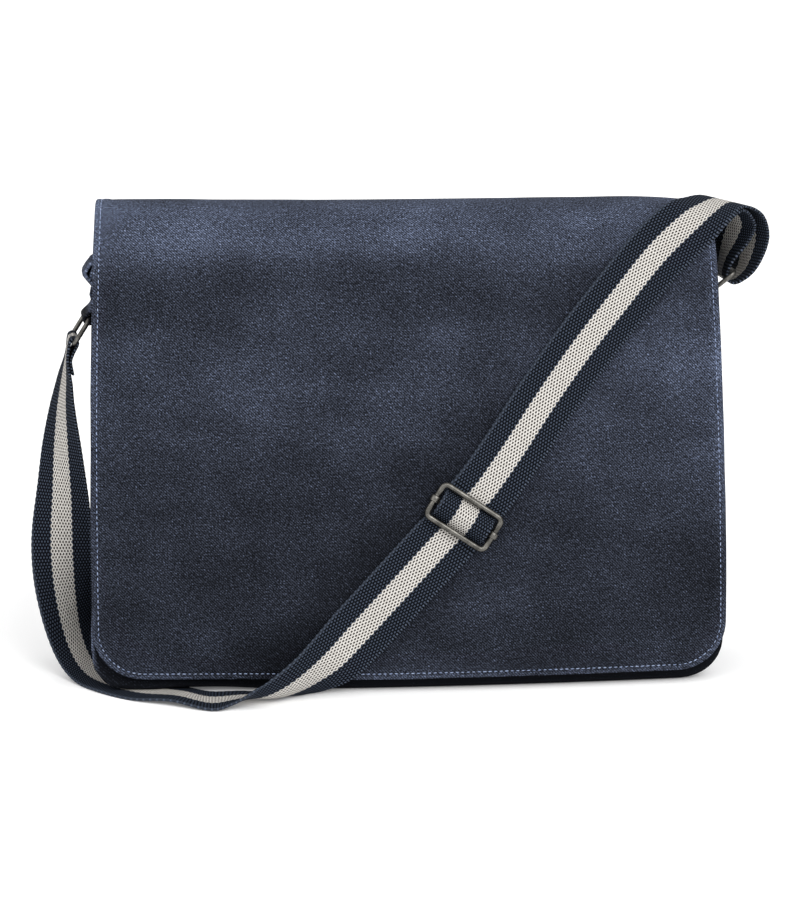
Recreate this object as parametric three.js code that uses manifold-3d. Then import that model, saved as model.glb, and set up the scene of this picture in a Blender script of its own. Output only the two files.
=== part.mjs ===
// Canvas dispatch bag with a hemmed flap and a striped webbing shoulder strap.
// Millimetres, +Z up. The origin is on the floor under the middle of the base,
// +X is to the right as seen from the front and +Y goes to the back.
import * as THREE from 'three';
import { mergeVertices } from 'three/addons/utils/BufferGeometryUtils.js';
import Module from 'manifold-3d';

const wasm = await Module();
wasm.setup();

// Cloth and seams
const CANVAS = 1.8;
const SEAT_GAP = 0.3;
const BAG_WIDTH = 400;
const HALF_WIDTH = BAG_WIDTH / 2;
const PANEL_HALF_WIDTH = HALF_WIDTH - 0.8;
const PANEL_FLOOR_GAP = 0.8;
const CORNER_RADIUS = 27;
// The body is narrower at its top by this much on each side.
const TAPER = { by: 4.5, from: 150, to: 250 };
const MOUTH_HEIGHT = 266;
const MOUTH_FOOT = 228;
const BACK_HEIGHT = 284;
// A leaning panel takes up more depth than its thickness, by this factor.
const LEAN_FACTOR = 1.12;

// Gusset: its seams lie inside its middle, and its front left corner rests on the strap.
const CROWN = 2.4;
const FLAT_SHARE = 0.55;
const CORNER_LIFT = 3.2;
const LIFT_START = { across: -70, depth: 30 };
const LIFT_FULL = { across: -150, depth: -8 };

// Flap
const FLAP_CORNER_RADIUS = 31;
const FLAP_FOLD_LENGTH = 120;
const FLAP_FRONT_FROM = 96;
// The flap's ends droop by this many times its sag, the right one under the strap.
const FLAP_LEFT_DROOP = 0.5;
const FLAP_RIGHT_DROOP = 2.8;
const FLAP_DROOP_POWER = 8;
// The flap's lower left hangs a little higher, by place across and along.
const FLAP_RISE = 1.5;
const RISE_START = { across: -10, along: 250 };
const RISE_FULL = { across: -120, along: 388 };

// Strap, rings and adjuster
const STRAP_WIDTH = 38;
const STRAP_THICKNESS = 1.6;
const LAYER_LIFT = SEAT_GAP + STRAP_THICKNESS / 2;
const LAYER_STEP = STRAP_THICKNESS + 0.5;
// From the adjuster's bar to the middle of the webbing that turns round it.
const TURN_REACH = LAYER_LIFT + 1.1;
const WIRE = 3;
const RING_LENGTH = 46;
const RING_HEIGHT = 21;
const WIRE_CORNER = 3.5;
// How much of an inset the wire's corner radius loses, and the share of the wire that is bevelled.
const CORNER_LOSS = 0.7;
const BEVEL_SHARE = 0.3;
const TAB_WIDTH = 36;
// Shares of the gusset's depth that lie under a tab.
const TAB_SHARES = [0.2, 0.3, 0.4, 0.5, 0.6, 0.7, 0.8, 0.9];
const SLIDER_LENGTH = 46.6;
const SLIDER_HEIGHT = 26.8;
// The adjuster lies a little askew on the strap.
const SLIDER_TURN = THREE.MathUtils.degToRad(6.5);
const SLIDER_WIRE = 3.7;
const SLIDER_LIFT = 6.5;
const BAR_WIDTH = 3.4;
const BAR_THICKNESS = 1.6;
const COLLAR_LENGTH = 5;
const COLLAR_BORE = 4.4;
const COLLAR_DIAMETER = 6.2;
// The webbing is squeezed to this share of its width inside the adjuster.
const SQUEEZE = 0.93;

// Outer faces of the front and back panels at mid-width, by height above the floor.
// bulge is how far the side seams lie behind the middle.
const FRONT_SECTIONS = [
  { height: 0, depth: -56.5, bulge: 10 },
  { height: 8, depth: -60, bulge: 10 },
  { height: 20, depth: -62, bulge: 10 },
  { height: 60, depth: -59.5, bulge: 10 },
  { height: 140, depth: -46.5, bulge: 8 },
  { height: 215, depth: -30.5, bulge: 5 },
  { height: 266, depth: -17.5, bulge: 3 },
];
const BACK_SECTIONS = [
  { height: 0, depth: 52, bulge: -8 },
  { height: 8, depth: 55, bulge: -8 },
  { height: 20, depth: 57, bulge: -8 },
  { height: 60, depth: 56, bulge: -8 },
  { height: 140, depth: 52, bulge: -7 },
  { height: 215, depth: 47.5, bulge: -5 },
  { height: 290, depth: 43, bulge: -4 },
];

// Outward swell of the gusset's sides, by height: drawn in at the middle. The left mouth stands
// open like an ear and the strap holds the right one closed.
const GUSSET_SWELL = [
  { height: 0, left: 0, right: 0 },
  { height: 60, left: 0.5, right: 0.5 },
  { height: 130, left: -3, right: -3 },
  { height: 200, left: -4, right: -4 },
  { height: 236, left: -2, right: -4 },
  { height: 244, left: -1, right: -4 },
  { height: 249, left: 1, right: -3.5 },
  { height: 254, left: 5.5, right: -2.5 },
  { height: 260, left: 9, right: -1 },
  { height: 266, left: 7, right: 0 },
];

// Outer face of the flap at mid-width, by cloth length from its seam on the back.
// half is its half width, and sag lowers its middle where it crosses the top.
const FLAP_SECTIONS = [
  { along: 0, depth: 46.8, height: 262, half: 194.5, bulge: -4, sag: 0 },
  { along: 29, depth: 45.1, height: 291, half: 194.5, bulge: -4, sag: 1 },
  { along: 43, depth: 37, height: 301.5, half: 194.5, bulge: -2, sag: 2.5 },
  { along: 62, depth: 19, height: 304.5, half: 194.5, bulge: 0, sag: 2.5 },
  { along: 80, depth: 2, height: 302, half: 195, bulge: 2, sag: 2.5 },
  { along: 96, depth: -10, height: 292, half: 195.5, bulge: 3, sag: 1.5 },
  { along: 121, depth: -21, height: 270, half: 196.5, bulge: 4, sag: 0 },
  { along: 180, depth: -34.5, height: 213, half: 198.5, bulge: 5, sag: 0 },
  { along: 255, depth: -50, height: 140, half: 200, bulge: 8, sag: 0 },
  { along: 336, depth: -63, height: 60, half: 200.5, bulge: 10, sag: 0 },
  { along: 388, depth: -66.2, height: 8.6, half: 200.5, bulge: 10, sag: 0 },
];

// Centre lines of the ring bars: the bar in the tab and the bar that holds the strap. acrossX turns
// the bars away from +Y, and the tab is sewn on between two heights.
const RING_DEPTH = 13;
const LEFT_RING = {
  tabX: -201.3, tabZ: 230.4, strapX: -211, strapZ: 215.2, acrossX: -0.06, sewnTop: 246.5, sewnFoot: 242,
};
const RIGHT_RING = {
  tabX: 196.8, tabZ: 245.4, strapX: 211, strapZ: 256.5, acrossX: 0, sewnTop: 258, sewnFoot: 251,
};

// Tail of the strap under the left ring's outer bar, sewn flat against the strap.
const LEFT_TAIL = [
  { inward: -2.9, below: 20, edgeX: 0.17 },
  { inward: -1.8, below: 11.5, edgeX: 0.13 },
];

// Strap route. Each row is a place on the webbing's centre line and the direction from its
// outer edge to its inner edge there.
const HANGING_ROUTE = [
  { x: -215.2, y: 13, z: 204, edgeX: 0.15, edgeY: -0.99, edgeZ: 0 },
  { x: -216.6, y: 13, z: 190, edgeX: 0.19, edgeY: -0.98, edgeZ: 0 },
  { x: -218.4, y: 12, z: 173, edgeX: 0.4, edgeY: -0.9, edgeZ: 0 },
  { x: -219.5, y: 10, z: 146, edgeX: 0.66, edgeY: -0.75, edgeZ: 0 },
  { x: -219.8, y: 8, z: 117, edgeX: 0.86, edgeY: -0.5, edgeZ: 0 },
  { x: -221, y: 8, z: 80, edgeX: 1, edgeY: 0, edgeZ: 0 },
  { x: -219.5, y: 9, z: 48, edgeX: 0.88, edgeY: 0.45, edgeZ: 0.1 },
  { x: -214.5, y: 5, z: 21, edgeX: 0.615, edgeY: 0.703, edgeZ: 0.353 },
];
const FLOOR_ROUTE = [
  { x: -205.2, y: -11, z: 5.9, edgeX: 0.496, edgeY: 0.853, edgeZ: 0.164 },
  { x: -187.4, y: -36, z: 1.55, edgeX: 0.547, edgeY: 0.837, edgeZ: 0.018 },
  { x: -168, y: -55, z: 1.5, edgeX: 0.5, edgeY: 0.866, edgeZ: 0.02 },
  { x: -149, y: -66.5, z: 1.5, edgeX: 0.3, edgeY: 0.954, edgeZ: 0.02 },
  { x: -127, y: -81.5, z: 1.5, edgeX: 0.03, edgeY: 1, edgeZ: 0.01 },
  { x: -108, y: -80, z: 2.8, edgeX: 0.27, edgeY: 0.95, edgeZ: -0.09 },
  { x: -90, y: -86, z: 4.4, edgeX: 0.53, edgeY: 0.78, edgeZ: -0.3, cup: 20 },
  { x: -77, y: -81, z: 7.8, edgeX: 0.62, edgeY: 0.65, edgeZ: -0.42, cup: 18 },
  { x: -63.5, y: -77, z: 15.5, edgeX: 0.59, edgeY: 0.5, edgeZ: -0.63, cup: 8 },
  { x: -51, y: -73.5, z: 24.5, edgeX: 0.69, edgeY: 0.2, edgeZ: -0.68 },
];
// The stretch that lies on the flap, from its lower end to the top right corner.
const DIAGONAL_ROUTE = [
  { across: -34, height: 40 },
  { across: -16, height: 59 },
  { across: 6, height: 82 },
  { across: 31.6, height: 109.9 },
  { across: 62, height: 148 },
  { across: 85, height: 181 },
  { across: 110, height: 214 },
  { across: 135, height: 244 },
  { across: 158, height: 270 },
];
const SLIDER_ROW = 3;
// Distances from the adjuster's bar along the strap: where it lies flat, where it passes under
// the frame's wire, where it climbs to the bar, and where its end is sewn under the bar.
const FLAT_FROM = 17;
const UNDER_WIRE = 10.4;
const CLIMB_AT = 4.4;
const CLIMB_LEFT = 2.2;
const END_AT = 0.6;
// Over the corner, out round the right ring's outer bar and back underneath.
const CORNER_ROUTE = [
  { x: 180, y: -17, z: 290.5, edgeX: 0.66, edgeY: -0.46, edgeZ: -0.54 },
  { x: 190.5, y: -12, z: 297, edgeX: 0.6, edgeY: -0.7, edgeZ: -0.3 },
  { x: 203, y: -4, z: 301.4, edgeX: 0.52, edgeY: -0.84, edgeZ: -0.1 },
  { x: 217, y: 1.5, z: 295.5, edgeX: 0.48, edgeY: -0.87, edgeZ: -0.08 },
  { x: 223, y: 5, z: 281, edgeX: 0.44, edgeY: -0.9, edgeZ: -0.03 },
  { x: 222, y: 8, z: 266.5, edgeX: 0.33, edgeY: -0.94, edgeZ: 0 },
  { x: 218.5, y: 11, z: 255, edgeX: 0.15, edgeY: -0.99, edgeZ: 0 },
  { x: 211.5, y: 13, z: 249, edgeX: 0, edgeY: -1, edgeZ: 0 },
  { x: 206.2, y: 13, z: 252.2, edgeX: 0.02, edgeY: -1, edgeZ: 0 },
  { x: 207.3, y: 12.5, z: 263, edgeX: 0.12, edgeY: -0.99, edgeZ: 0 },
  { x: 211, y: 8.5, z: 276, edgeX: 0.44, edgeY: -0.9, edgeZ: 0 },
  { x: 213, y: 4, z: 288, edgeX: 0.5, edgeY: -0.86, edgeZ: -0.08 },
  { x: 203.5, y: -2.5, z: 298.9, edgeX: 0.54, edgeY: -0.83, edgeZ: -0.1 },
  { x: 189.5, y: -10.5, z: 294.4, edgeX: 0.6, edgeY: -0.7, edgeZ: -0.3 },
  { x: 179, y: -15.2, z: 288.2, edgeX: 0.66, edgeY: -0.46, edgeZ: -0.54 },
];

// Numbers of steps along the curves.
const DETAIL = {
  corner: 6,
  panelRows: 8,
  panelColumns: 16,
  gussetMouth: 6,
  gussetSide: 6,
  gussetBase: 10,
  gussetDepth: 10,
  flapFold: 12,
  flapFront: 8,
  flapCorner: 7,
  flapColumns: 20,
  strapRow: 3,
  tabRow: 2,
  sewn: 2,
  turn: 4,
  halving: 24,
};

const COLOURS = {
  canvas: 0x3c4352,
  shadedCanvas: 0x2a2e38,
  webbing: 0x1c2230,
  nickel: 0x6f706e,
};

// Tables

// Reads every column of a table at a value of its key column, on a smooth curve.
function readTable(table, key, value) {
  const last = table.length - 1;
  let row = 0;
  while (row < last - 1 && value > table[row + 1][key]) {
    row += 1;
  }
  const from = table[row];
  const to = table[row + 1];
  const span = to[key] - from[key];
  const t = THREE.MathUtils.clamp((value - from[key]) / span, 0, 1);
  const before = table[Math.max(row - 1, 0)];
  const after = table[Math.min(row + 2, last)];
  const result = {};
  for (const column of Object.keys(from)) {
    const slopeIn = (to[column] - before[column]) / (to[key] - before[key]);
    const slopeOut = (after[column] - from[column]) / (after[key] - from[key]);
    const h = t * t * (3 - 2 * t);
    result[column] = from[column] * (1 - h) + to[column] * h
      + span * t * (1 - t) * ((1 - t) * slopeIn - t * slopeOut);
  }
  return result;
}

function steps(count, from, to) {
  return Array.from({ length: count + 1 }, (_, i) => from + ((to - from) * i) / count);
}

// Half width of a sheet with round bottom corners, at a distance from its bottom edge.
function roundedHalf(half, radius, fromBottom) {
  const rise = Math.max(radius - fromBottom, 0);
  return half - radius + Math.sqrt(radius * radius - rise * rise);
}

// Distances from the bottom edge that follow a round corner in equal turns.
function cornerSteps(count, radius) {
  return steps(count, 0, Math.PI / 2).map((turn) => radius * (1 - Math.cos(turn)));
}

// How far the body's sides lie inside its half width at a height.
function taper(height) {
  return TAPER.by * THREE.MathUtils.smoothstep(height, TAPER.from, TAPER.to);
}

// Solids

// A closed sheet over a grid of points on its outer face, thickened inwards.
function clothSheet(grid, thickness) {
  const rows = grid.length;
  const columns = grid[0].length;
  const positions = [];
  const inner = [];
  for (let i = 0; i < rows; i += 1) {
    for (let j = 0; j < columns; j += 1) {
      const along = grid[Math.min(i + 1, rows - 1)][j].clone().sub(grid[Math.max(i - 1, 0)][j]);
      const across = grid[i][Math.min(j + 1, columns - 1)].clone().sub(grid[i][Math.max(j - 1, 0)]);
      const normal = across.cross(along).normalize();
      positions.push(...grid[i][j].toArray());
      inner.push(...grid[i][j].clone().addScaledVector(normal, -thickness).toArray());
    }
  }
  const offset = rows * columns;
  const index = [];
  const quad = (a, b, c, d) => index.push(a, b, c, a, c, d);
  const at = (i, j) => i * columns + j;
  for (let i = 0; i < rows - 1; i += 1) {
    for (let j = 0; j < columns - 1; j += 1) {
      quad(at(i, j), at(i, j + 1), at(i + 1, j + 1), at(i + 1, j));
      quad(offset + at(i, j), offset + at(i + 1, j), offset + at(i + 1, j + 1), offset + at(i, j + 1));
    }
  }
  const rim = (a, b) => quad(a, offset + a, offset + b, b);
  for (let j = 0; j < columns - 1; j += 1) {
    rim(at(0, j), at(0, j + 1));
    rim(at(rows - 1, j + 1), at(rows - 1, j));
  }
  for (let i = 0; i < rows - 1; i += 1) {
    rim(at(i, columns - 1), at(i + 1, columns - 1));
    rim(at(i + 1, 0), at(i, 0));
  }
  const geometry = new THREE.BufferGeometry();
  geometry.setAttribute('position', new THREE.Float32BufferAttribute(positions.concat(inner), 3));
  geometry.setIndex(index);
  return geometry;
}

// A closed ribbon through stations, each with a centre, an edge direction, a width and a cup,
// the angle between its two halves.
function ribbon(stations, thickness) {
  const positions = [];
  const last = stations.length - 1;
  const ring = [[-1, 1], [0, 1], [1, 1], [1, -1], [0, -1], [-1, -1]];
  stations.forEach((station, i) => {
    const ahead = stations[Math.min(i + 1, last)].centre;
    const along = ahead.clone().sub(stations[Math.max(i - 1, 0)].centre).normalize();
    const { edge } = station;
    const face = along.clone().cross(edge).normalize();
    const tilt = THREE.MathUtils.degToRad(station.cup / 2);
    for (const [side, level] of ring) {
      const corner = station.centre.clone()
        .addScaledVector(edge, (side * station.width * Math.cos(tilt)) / 2)
        .addScaledVector(face, (Math.abs(side) * station.width * Math.sin(tilt)) / 2)
        .addScaledVector(face, (level * thickness) / 2);
      positions.push(...corner.toArray());
    }
  });
  const index = [];
  const quad = (a, b, c, d) => index.push(a, b, c, a, c, d);
  const sides = ring.length;
  for (let i = 0; i < last; i += 1) {
    for (let k = 0; k < sides; k += 1) {
      const next = (k + 1) % sides;
      quad(sides * i + k, sides * (i + 1) + k, sides * (i + 1) + next, sides * i + next);
    }
  }
  const end = sides * last;
  quad(0, 1, 4, 5);
  quad(1, 2, 3, 4);
  quad(end + 5, end + 4, end + 1, end);
  quad(end + 4, end + 3, end + 2, end + 1);
  const geometry = new THREE.BufferGeometry();
  geometry.setAttribute('position', new THREE.Float32BufferAttribute(positions, 3));
  geometry.setIndex(index);
  return geometry;
}

// Smooth stations between route rows.
function smoothRoute(rows, stepsPerRow) {
  const centres = new THREE.CatmullRomCurve3(rows.map((row) => row.centre));
  const edges = new THREE.CatmullRomCurve3(rows.map((row) => row.edge), false, 'catmullrom', 0.5);
  return steps(stepsPerRow * (rows.length - 1), 0, 1).map((t) => {
    const place = t * (rows.length - 1);
    const row = Math.min(Math.floor(place), rows.length - 2);
    const between = (column) =>
      THREE.MathUtils.lerp(rows[row][column] ?? 0, rows[row + 1][column] ?? 0, place - row);
    return {
      centre: centres.getPoint(t),
      edge: edges.getPoint(t).normalize(),
      width: between('width'),
      cup: between('cup'),
    };
  });
}

// A round-edged wire frame, lying in XY about the origin.
function wireFrame(length, height, wire) {
  const outline = (Target, inset) => {
    const x = length / 2 - inset;
    const y = height / 2 - inset;
    const r = WIRE_CORNER - inset * CORNER_LOSS;
    const path = new Target();
    path.moveTo(-x + r, -y);
    path.lineTo(x - r, -y);
    path.absarc(x - r, -y + r, r, -Math.PI / 2, 0, false);
    path.lineTo(x, y - r);
    path.absarc(x - r, y - r, r, 0, Math.PI / 2, false);
    path.lineTo(-x + r, y);
    path.absarc(-x + r, y - r, r, Math.PI / 2, Math.PI, false);
    path.lineTo(-x, -y + r);
    path.absarc(-x + r, -y + r, r, Math.PI, 1.5 * Math.PI, false);
    return path;
  };
  const bevel = wire * BEVEL_SHARE;
  const shape = outline(THREE.Shape, bevel);
  shape.holes.push(outline(THREE.Path, wire - bevel));
  const geometry = new THREE.ExtrudeGeometry(shape, {
    depth: wire - 2 * bevel,
    bevelThickness: bevel,
    bevelSize: bevel,
    bevelSegments: 1,
    curveSegments: 4,
  });
  geometry.translate(0, 0, bevel - wire / 2);
  return geometry;
}

// Body

function panelDepth(sections, x, height) {
  const section = readTable(sections, 'height', height);
  return section.depth + section.bulge * (x / HALF_WIDTH) ** 2;
}

// Lift of the body's underside over the strap at the front left corner.
function cornerLift(x, y) {
  const across = THREE.MathUtils.smoothstep(-x, -LIFT_START.across, -LIFT_FULL.across);
  const depth = THREE.MathUtils.smoothstep(-y, -LIFT_START.depth, -LIFT_FULL.depth);
  return CORNER_LIFT * across * depth;
}

// The lift fades out above the corner.
function lifted(point) {
  const fade = Math.max(1 - point.z / (2 * CORNER_RADIUS), 0);
  point.z += cornerLift(point.x, point.y) * fade;
  return point;
}

function panel(sections, top, facing) {
  const corner = cornerSteps(DETAIL.corner, CORNER_RADIUS);
  const heights = corner.concat(steps(DETAIL.panelRows, CORNER_RADIUS, top - PANEL_FLOOR_GAP).slice(1));
  const grid = heights.map((fromBottom) => {
    const height = fromBottom + PANEL_FLOOR_GAP;
    const half = roundedHalf(PANEL_HALF_WIDTH, CORNER_RADIUS, fromBottom) - taper(height);
    return steps(DETAIL.panelColumns, -half, half).map((across) => {
      const x = across * facing;
      return lifted(new THREE.Vector3(x, panelDepth(sections, x, height), height));
    });
  });
  return clothSheet(grid, CANVAS);
}

// The gusset's outer line seen from the front, from the left mouth round to the right mouth.
function gussetLine() {
  const mouth = steps(DETAIL.gussetMouth, MOUTH_HEIGHT, MOUTH_FOOT);
  const heights = mouth.concat(steps(DETAIL.gussetSide, MOUTH_FOOT, CORNER_RADIUS).slice(1));
  const side = heights.map((height) => ({
    x: taper(height) - HALF_WIDTH, z: height, outX: -1, outZ: 0,
  }));
  const centre = HALF_WIDTH - CORNER_RADIUS;
  const corner = steps(DETAIL.corner, 0, Math.PI / 2).slice(1).map((turn) => ({
    x: -centre - CORNER_RADIUS * Math.cos(turn),
    z: CORNER_RADIUS * (1 - Math.sin(turn)),
    outX: -Math.cos(turn),
    outZ: -Math.sin(turn),
  }));
  const base = steps(DETAIL.gussetBase, -centre, 0).slice(1).map((x) => ({ x, z: 0, outX: 0, outZ: -1 }));
  const left = side.concat(corner, base);
  const right = left.slice(0, -1).reverse().map((row) => ({ ...row, x: -row.x, outX: -row.outX }));
  return left.concat(right);
}

// A point on the gusset's outer face. share runs from 0 at the front seam to 1 at the back seam.
function gussetPoint(row, share) {
  const seamZ = row.z - CROWN * row.outZ;
  const depthRoom = CANVAS * LEAN_FACTOR + SEAT_GAP;
  const front = panelDepth(FRONT_SECTIONS, row.x, seamZ) + depthRoom;
  const back = panelDepth(BACK_SECTIONS, row.x, seamZ) - depthRoom;
  const fromMiddle = Math.abs(2 * share - 1);
  const crown = CROWN * THREE.MathUtils.smoothstep(fromMiddle, FLAT_SHARE, 1);
  const side = row.x < 0 ? 'left' : 'right';
  const swell = readTable(GUSSET_SWELL, 'height', row.z)[side] * Math.abs(row.outX);
  const out = swell * (1 - fromMiddle ** 4) - crown;
  const y = THREE.MathUtils.lerp(front, back, share);
  return lifted(new THREE.Vector3(row.x + row.outX * out, y, row.z + row.outZ * out));
}

function gusset() {
  const shares = steps(DETAIL.gussetDepth, 1, 0);
  const grid = shares.map((share) => gussetLine().map((row) => gussetPoint(row, share)));
  return clothSheet(grid, CANVAS);
}

// Flap

const FLAP_LENGTH = FLAP_SECTIONS[FLAP_SECTIONS.length - 1].along;

function flapPoint(along, share) {
  const section = readTable(FLAP_SECTIONS, 'along', along);
  const half = roundedHalf(section.half, FLAP_CORNER_RADIUS, FLAP_LENGTH - along);
  const x = share * half;
  const fromMiddle = x / HALF_WIDTH;
  const droop = (x < 0 ? FLAP_LEFT_DROOP : FLAP_RIGHT_DROOP) * fromMiddle ** FLAP_DROOP_POWER;
  const rise = FLAP_RISE * THREE.MathUtils.smoothstep(-x, -RISE_START.across, -RISE_FULL.across)
    * THREE.MathUtils.smoothstep(along, RISE_START.along, RISE_FULL.along);
  return new THREE.Vector3(
    x,
    section.depth + section.bulge * fromMiddle ** 2,
    section.height - section.sag * (1 - fromMiddle ** 2 + droop) + rise,
  );
}

function flap() {
  const corner = cornerSteps(DETAIL.flapCorner, FLAP_CORNER_RADIUS).map((fromBottom) => FLAP_LENGTH - fromBottom);
  const fold = steps(DETAIL.flapFold, 0, FLAP_FOLD_LENGTH);
  const cornerStart = FLAP_LENGTH - FLAP_CORNER_RADIUS;
  const front = steps(DETAIL.flapFront, FLAP_FOLD_LENGTH, cornerStart).slice(1, -1);
  const rows = fold.concat(front, corner.reverse());
  const grid = rows.map((along) => steps(DETAIL.flapColumns, -1, 1).map((share) => flapPoint(along, -share)));
  return clothSheet(grid, CANVAS);
}

// Strap

// The cloth length at which the front of the flap reaches a height, by halving.
function flapAlong(height) {
  let [low, high] = [FLAP_FRONT_FROM, FLAP_LENGTH];
  for (let i = 0; i < DETAIL.halving; i += 1) {
    const middle = (low + high) / 2;
    if (readTable(FLAP_SECTIONS, 'along', middle).height > height) {
      low = middle;
    } else {
      high = middle;
    }
  }
  return low;
}

// A place in front of the flap, and the way out from the cloth there.
function onFlap(across, height, lift) {
  const section = readTable(FLAP_SECTIONS, 'along', flapAlong(height));
  const below = readTable(FLAP_SECTIONS, 'along', flapAlong(height) + 1);
  const depth = section.depth + section.bulge * (across / HALF_WIDTH) ** 2;
  const down = new THREE.Vector3(0, below.depth - section.depth, below.height - section.height);
  const aside = new THREE.Vector3(1, (2 * section.bulge * across) / HALF_WIDTH ** 2, 0);
  const out = down.cross(aside).normalize();
  return { centre: new THREE.Vector3(across, depth, height).addScaledVector(out, lift), out };
}

const DIAGONAL = DIAGONAL_ROUTE.map((row, i) => {
  const ahead = DIAGONAL_ROUTE[Math.min(i + 1, DIAGONAL_ROUTE.length - 1)];
  const behind = DIAGONAL_ROUTE[Math.max(i - 1, 0)];
  const along = onFlap(ahead.across, ahead.height, 0).centre
    .sub(onFlap(behind.across, behind.height, 0).centre).normalize();
  const { out } = onFlap(row.across, row.height, 0);
  return { ...row, along, edge: along.clone().cross(out) };
});
const SLIDER = DIAGONAL[SLIDER_ROW];
const SLIDER_OUT = SLIDER.edge.clone().cross(SLIDER.along);
const SLIDER_UP = SLIDER.along.clone().applyAxisAngle(SLIDER_OUT, SLIDER_TURN);
const SLIDER_ACROSS = SLIDER.edge.clone().applyAxisAngle(SLIDER_OUT, SLIDER_TURN);

// A strap row on the diagonal, at a lift above the flap.
function diagonalRow(row, lift) {
  return { centre: onFlap(row.across, row.height, lift).centre, edge: row.edge, width: STRAP_WIDTH };
}

// A strap row in the adjuster, by distance from its bar.
function sliderRow(distance, lift) {
  const row = onFlap(SLIDER.across, SLIDER.height, lift);
  return {
    centre: row.centre.addScaledVector(SLIDER_UP, distance),
    edge: SLIDER_ACROSS,
    width: STRAP_WIDTH * SQUEEZE,
  };
}

// A flat strap row next to the adjuster.
function besideSlider(distance, lift) {
  const row = diagonalRow(SLIDER, lift);
  row.centre.addScaledVector(SLIDER.along, distance);
  return row;
}

function routeRow(row) {
  return {
    centre: new THREE.Vector3(row.x, row.y, row.z),
    edge: new THREE.Vector3(row.edgeX, row.edgeY, row.edgeZ),
    width: STRAP_WIDTH,
    cup: row.cup,
  };
}

// The sewn turning over the left ring's lower bar, from its tail up and over.
function leftTurning() {
  const { strapX, strapZ, acrossX } = LEFT_RING;
  const reach = WIRE / 2 + SEAT_GAP + STRAP_THICKNESS / 2;
  const row = (x, z, edgeX) => routeRow({ x, y: RING_DEPTH, z, edgeX, edgeY: -1, edgeZ: 0 });
  const turn = steps(DETAIL.turn, 0, Math.PI).map((angle) =>
    row(strapX + reach * Math.cos(angle), strapZ + reach * Math.sin(angle), -acrossX));
  const tail = LEFT_TAIL.map(({ inward, below, edgeX }) => row(strapX + inward, strapZ - below, edgeX));
  return [...tail, ...turn];
}

function strap() {
  const lower = DIAGONAL.slice(0, SLIDER_ROW);
  const upper = DIAGONAL.slice(SLIDER_ROW + 1);
  const outerLift = LAYER_LIFT + LAYER_STEP;
  const barTop = SLIDER_LIFT + BAR_THICKNESS / 2 + TURN_REACH;
  const over = barTop + LAYER_STEP;
  const rows = [
    ...leftTurning(),
    ...HANGING_ROUTE.map(routeRow),
    ...FLOOR_ROUTE.map(routeRow),
    ...lower.map((row) => diagonalRow(row, LAYER_LIFT + 2 * SEAT_GAP)),
    besideSlider(-FLAT_FROM, LAYER_LIFT + 2 * SEAT_GAP),
    sliderRow(-UNDER_WIRE, 2 * LAYER_LIFT),
    sliderRow(-CLIMB_AT, over - CLIMB_LEFT),
    sliderRow(0, over),
    sliderRow(CLIMB_AT, over - CLIMB_LEFT),
    sliderRow(UNDER_WIRE, outerLift),
    besideSlider(FLAT_FROM, outerLift),
    ...upper.map((row) => diagonalRow(row, outerLift)),
    ...CORNER_ROUTE.map(routeRow),
    ...upper.slice().reverse().map((row) => diagonalRow(row, LAYER_LIFT)),
    besideSlider(FLAT_FROM, LAYER_LIFT),
    sliderRow(UNDER_WIRE, LAYER_LIFT),
    sliderRow(BAR_WIDTH / 2 + TURN_REACH, SLIDER_LIFT),
    sliderRow(0, barTop),
    sliderRow(-BAR_WIDTH / 2 - TURN_REACH, SLIDER_LIFT),
    sliderRow(-END_AT, SLIDER_LIFT - BAR_THICKNESS / 2 - TURN_REACH),
  ];
  return ribbon(smoothRoute(rows, DETAIL.strapRow), STRAP_THICKNESS);
}

// Rings, tabs and adjuster

function ring(place) {
  const geometry = wireFrame(RING_LENGTH, RING_HEIGHT, WIRE);
  const across = new THREE.Vector3(place.acrossX, 1, 0).normalize();
  const down = new THREE.Vector3(place.strapX - place.tabX, 0, place.strapZ - place.tabZ);
  down.addScaledVector(across, -down.dot(across)).normalize();
  const face = across.clone().cross(down);
  const turn = new THREE.Matrix4().makeBasis(across, down, face);
  turn.setPosition((place.strapX + place.tabX) / 2, RING_DEPTH, (place.strapZ + place.tabZ) / 2);
  return geometry.applyMatrix4(turn);
}

// A canvas loop sewn flat on the gusset, round the ring's inner bar and back up over itself.
function ringTab(place) {
  const side = Math.sign(place.tabX);
  const reach = WIRE / 2 + 2 * SEAT_GAP + CANVAS / 2;
  // The gusset's outermost place under the tab's width, at a height.
  const gussetX = (height) => {
    const row = { x: side * (HALF_WIDTH - taper(height)), z: height, outX: side, outZ: 0 };
    return side * Math.max(...TAB_SHARES.map((share) => side * gussetPoint(row, share).x));
  };
  const row = (x, z, edgeX) => ({
    centre: new THREE.Vector3(x, RING_DEPTH, z),
    edge: new THREE.Vector3(edgeX, 1, 0),
    width: TAB_WIDTH,
  });
  const inner = 2 * SEAT_GAP + CANVAS / 2;
  const outer = inner + CANVAS + SEAT_GAP;
  const heights = steps(DETAIL.sewn, place.sewnTop, place.sewnFoot);
  const down = heights.map((height) => row(gussetX(height) + side * inner, height, 0));
  const up = heights.slice().reverse().map((height) => row(gussetX(height) + side * outer, height, 0));
  const turn = steps(DETAIL.turn, Math.PI, 2 * Math.PI).map((angle) =>
    row(place.tabX + side * reach * Math.cos(angle), place.tabZ + reach * Math.sin(angle), place.acrossX));
  return ribbon(smoothRoute([...down, ...turn, ...up], DETAIL.tabRow), CANVAS);
}

function sliderPlace(geometry) {
  const turn = new THREE.Matrix4().makeBasis(SLIDER_ACROSS, SLIDER_UP, SLIDER_OUT);
  turn.setPosition(onFlap(SLIDER.across, SLIDER.height, SLIDER_LIFT).centre);
  return geometry.applyMatrix4(turn);
}

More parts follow.
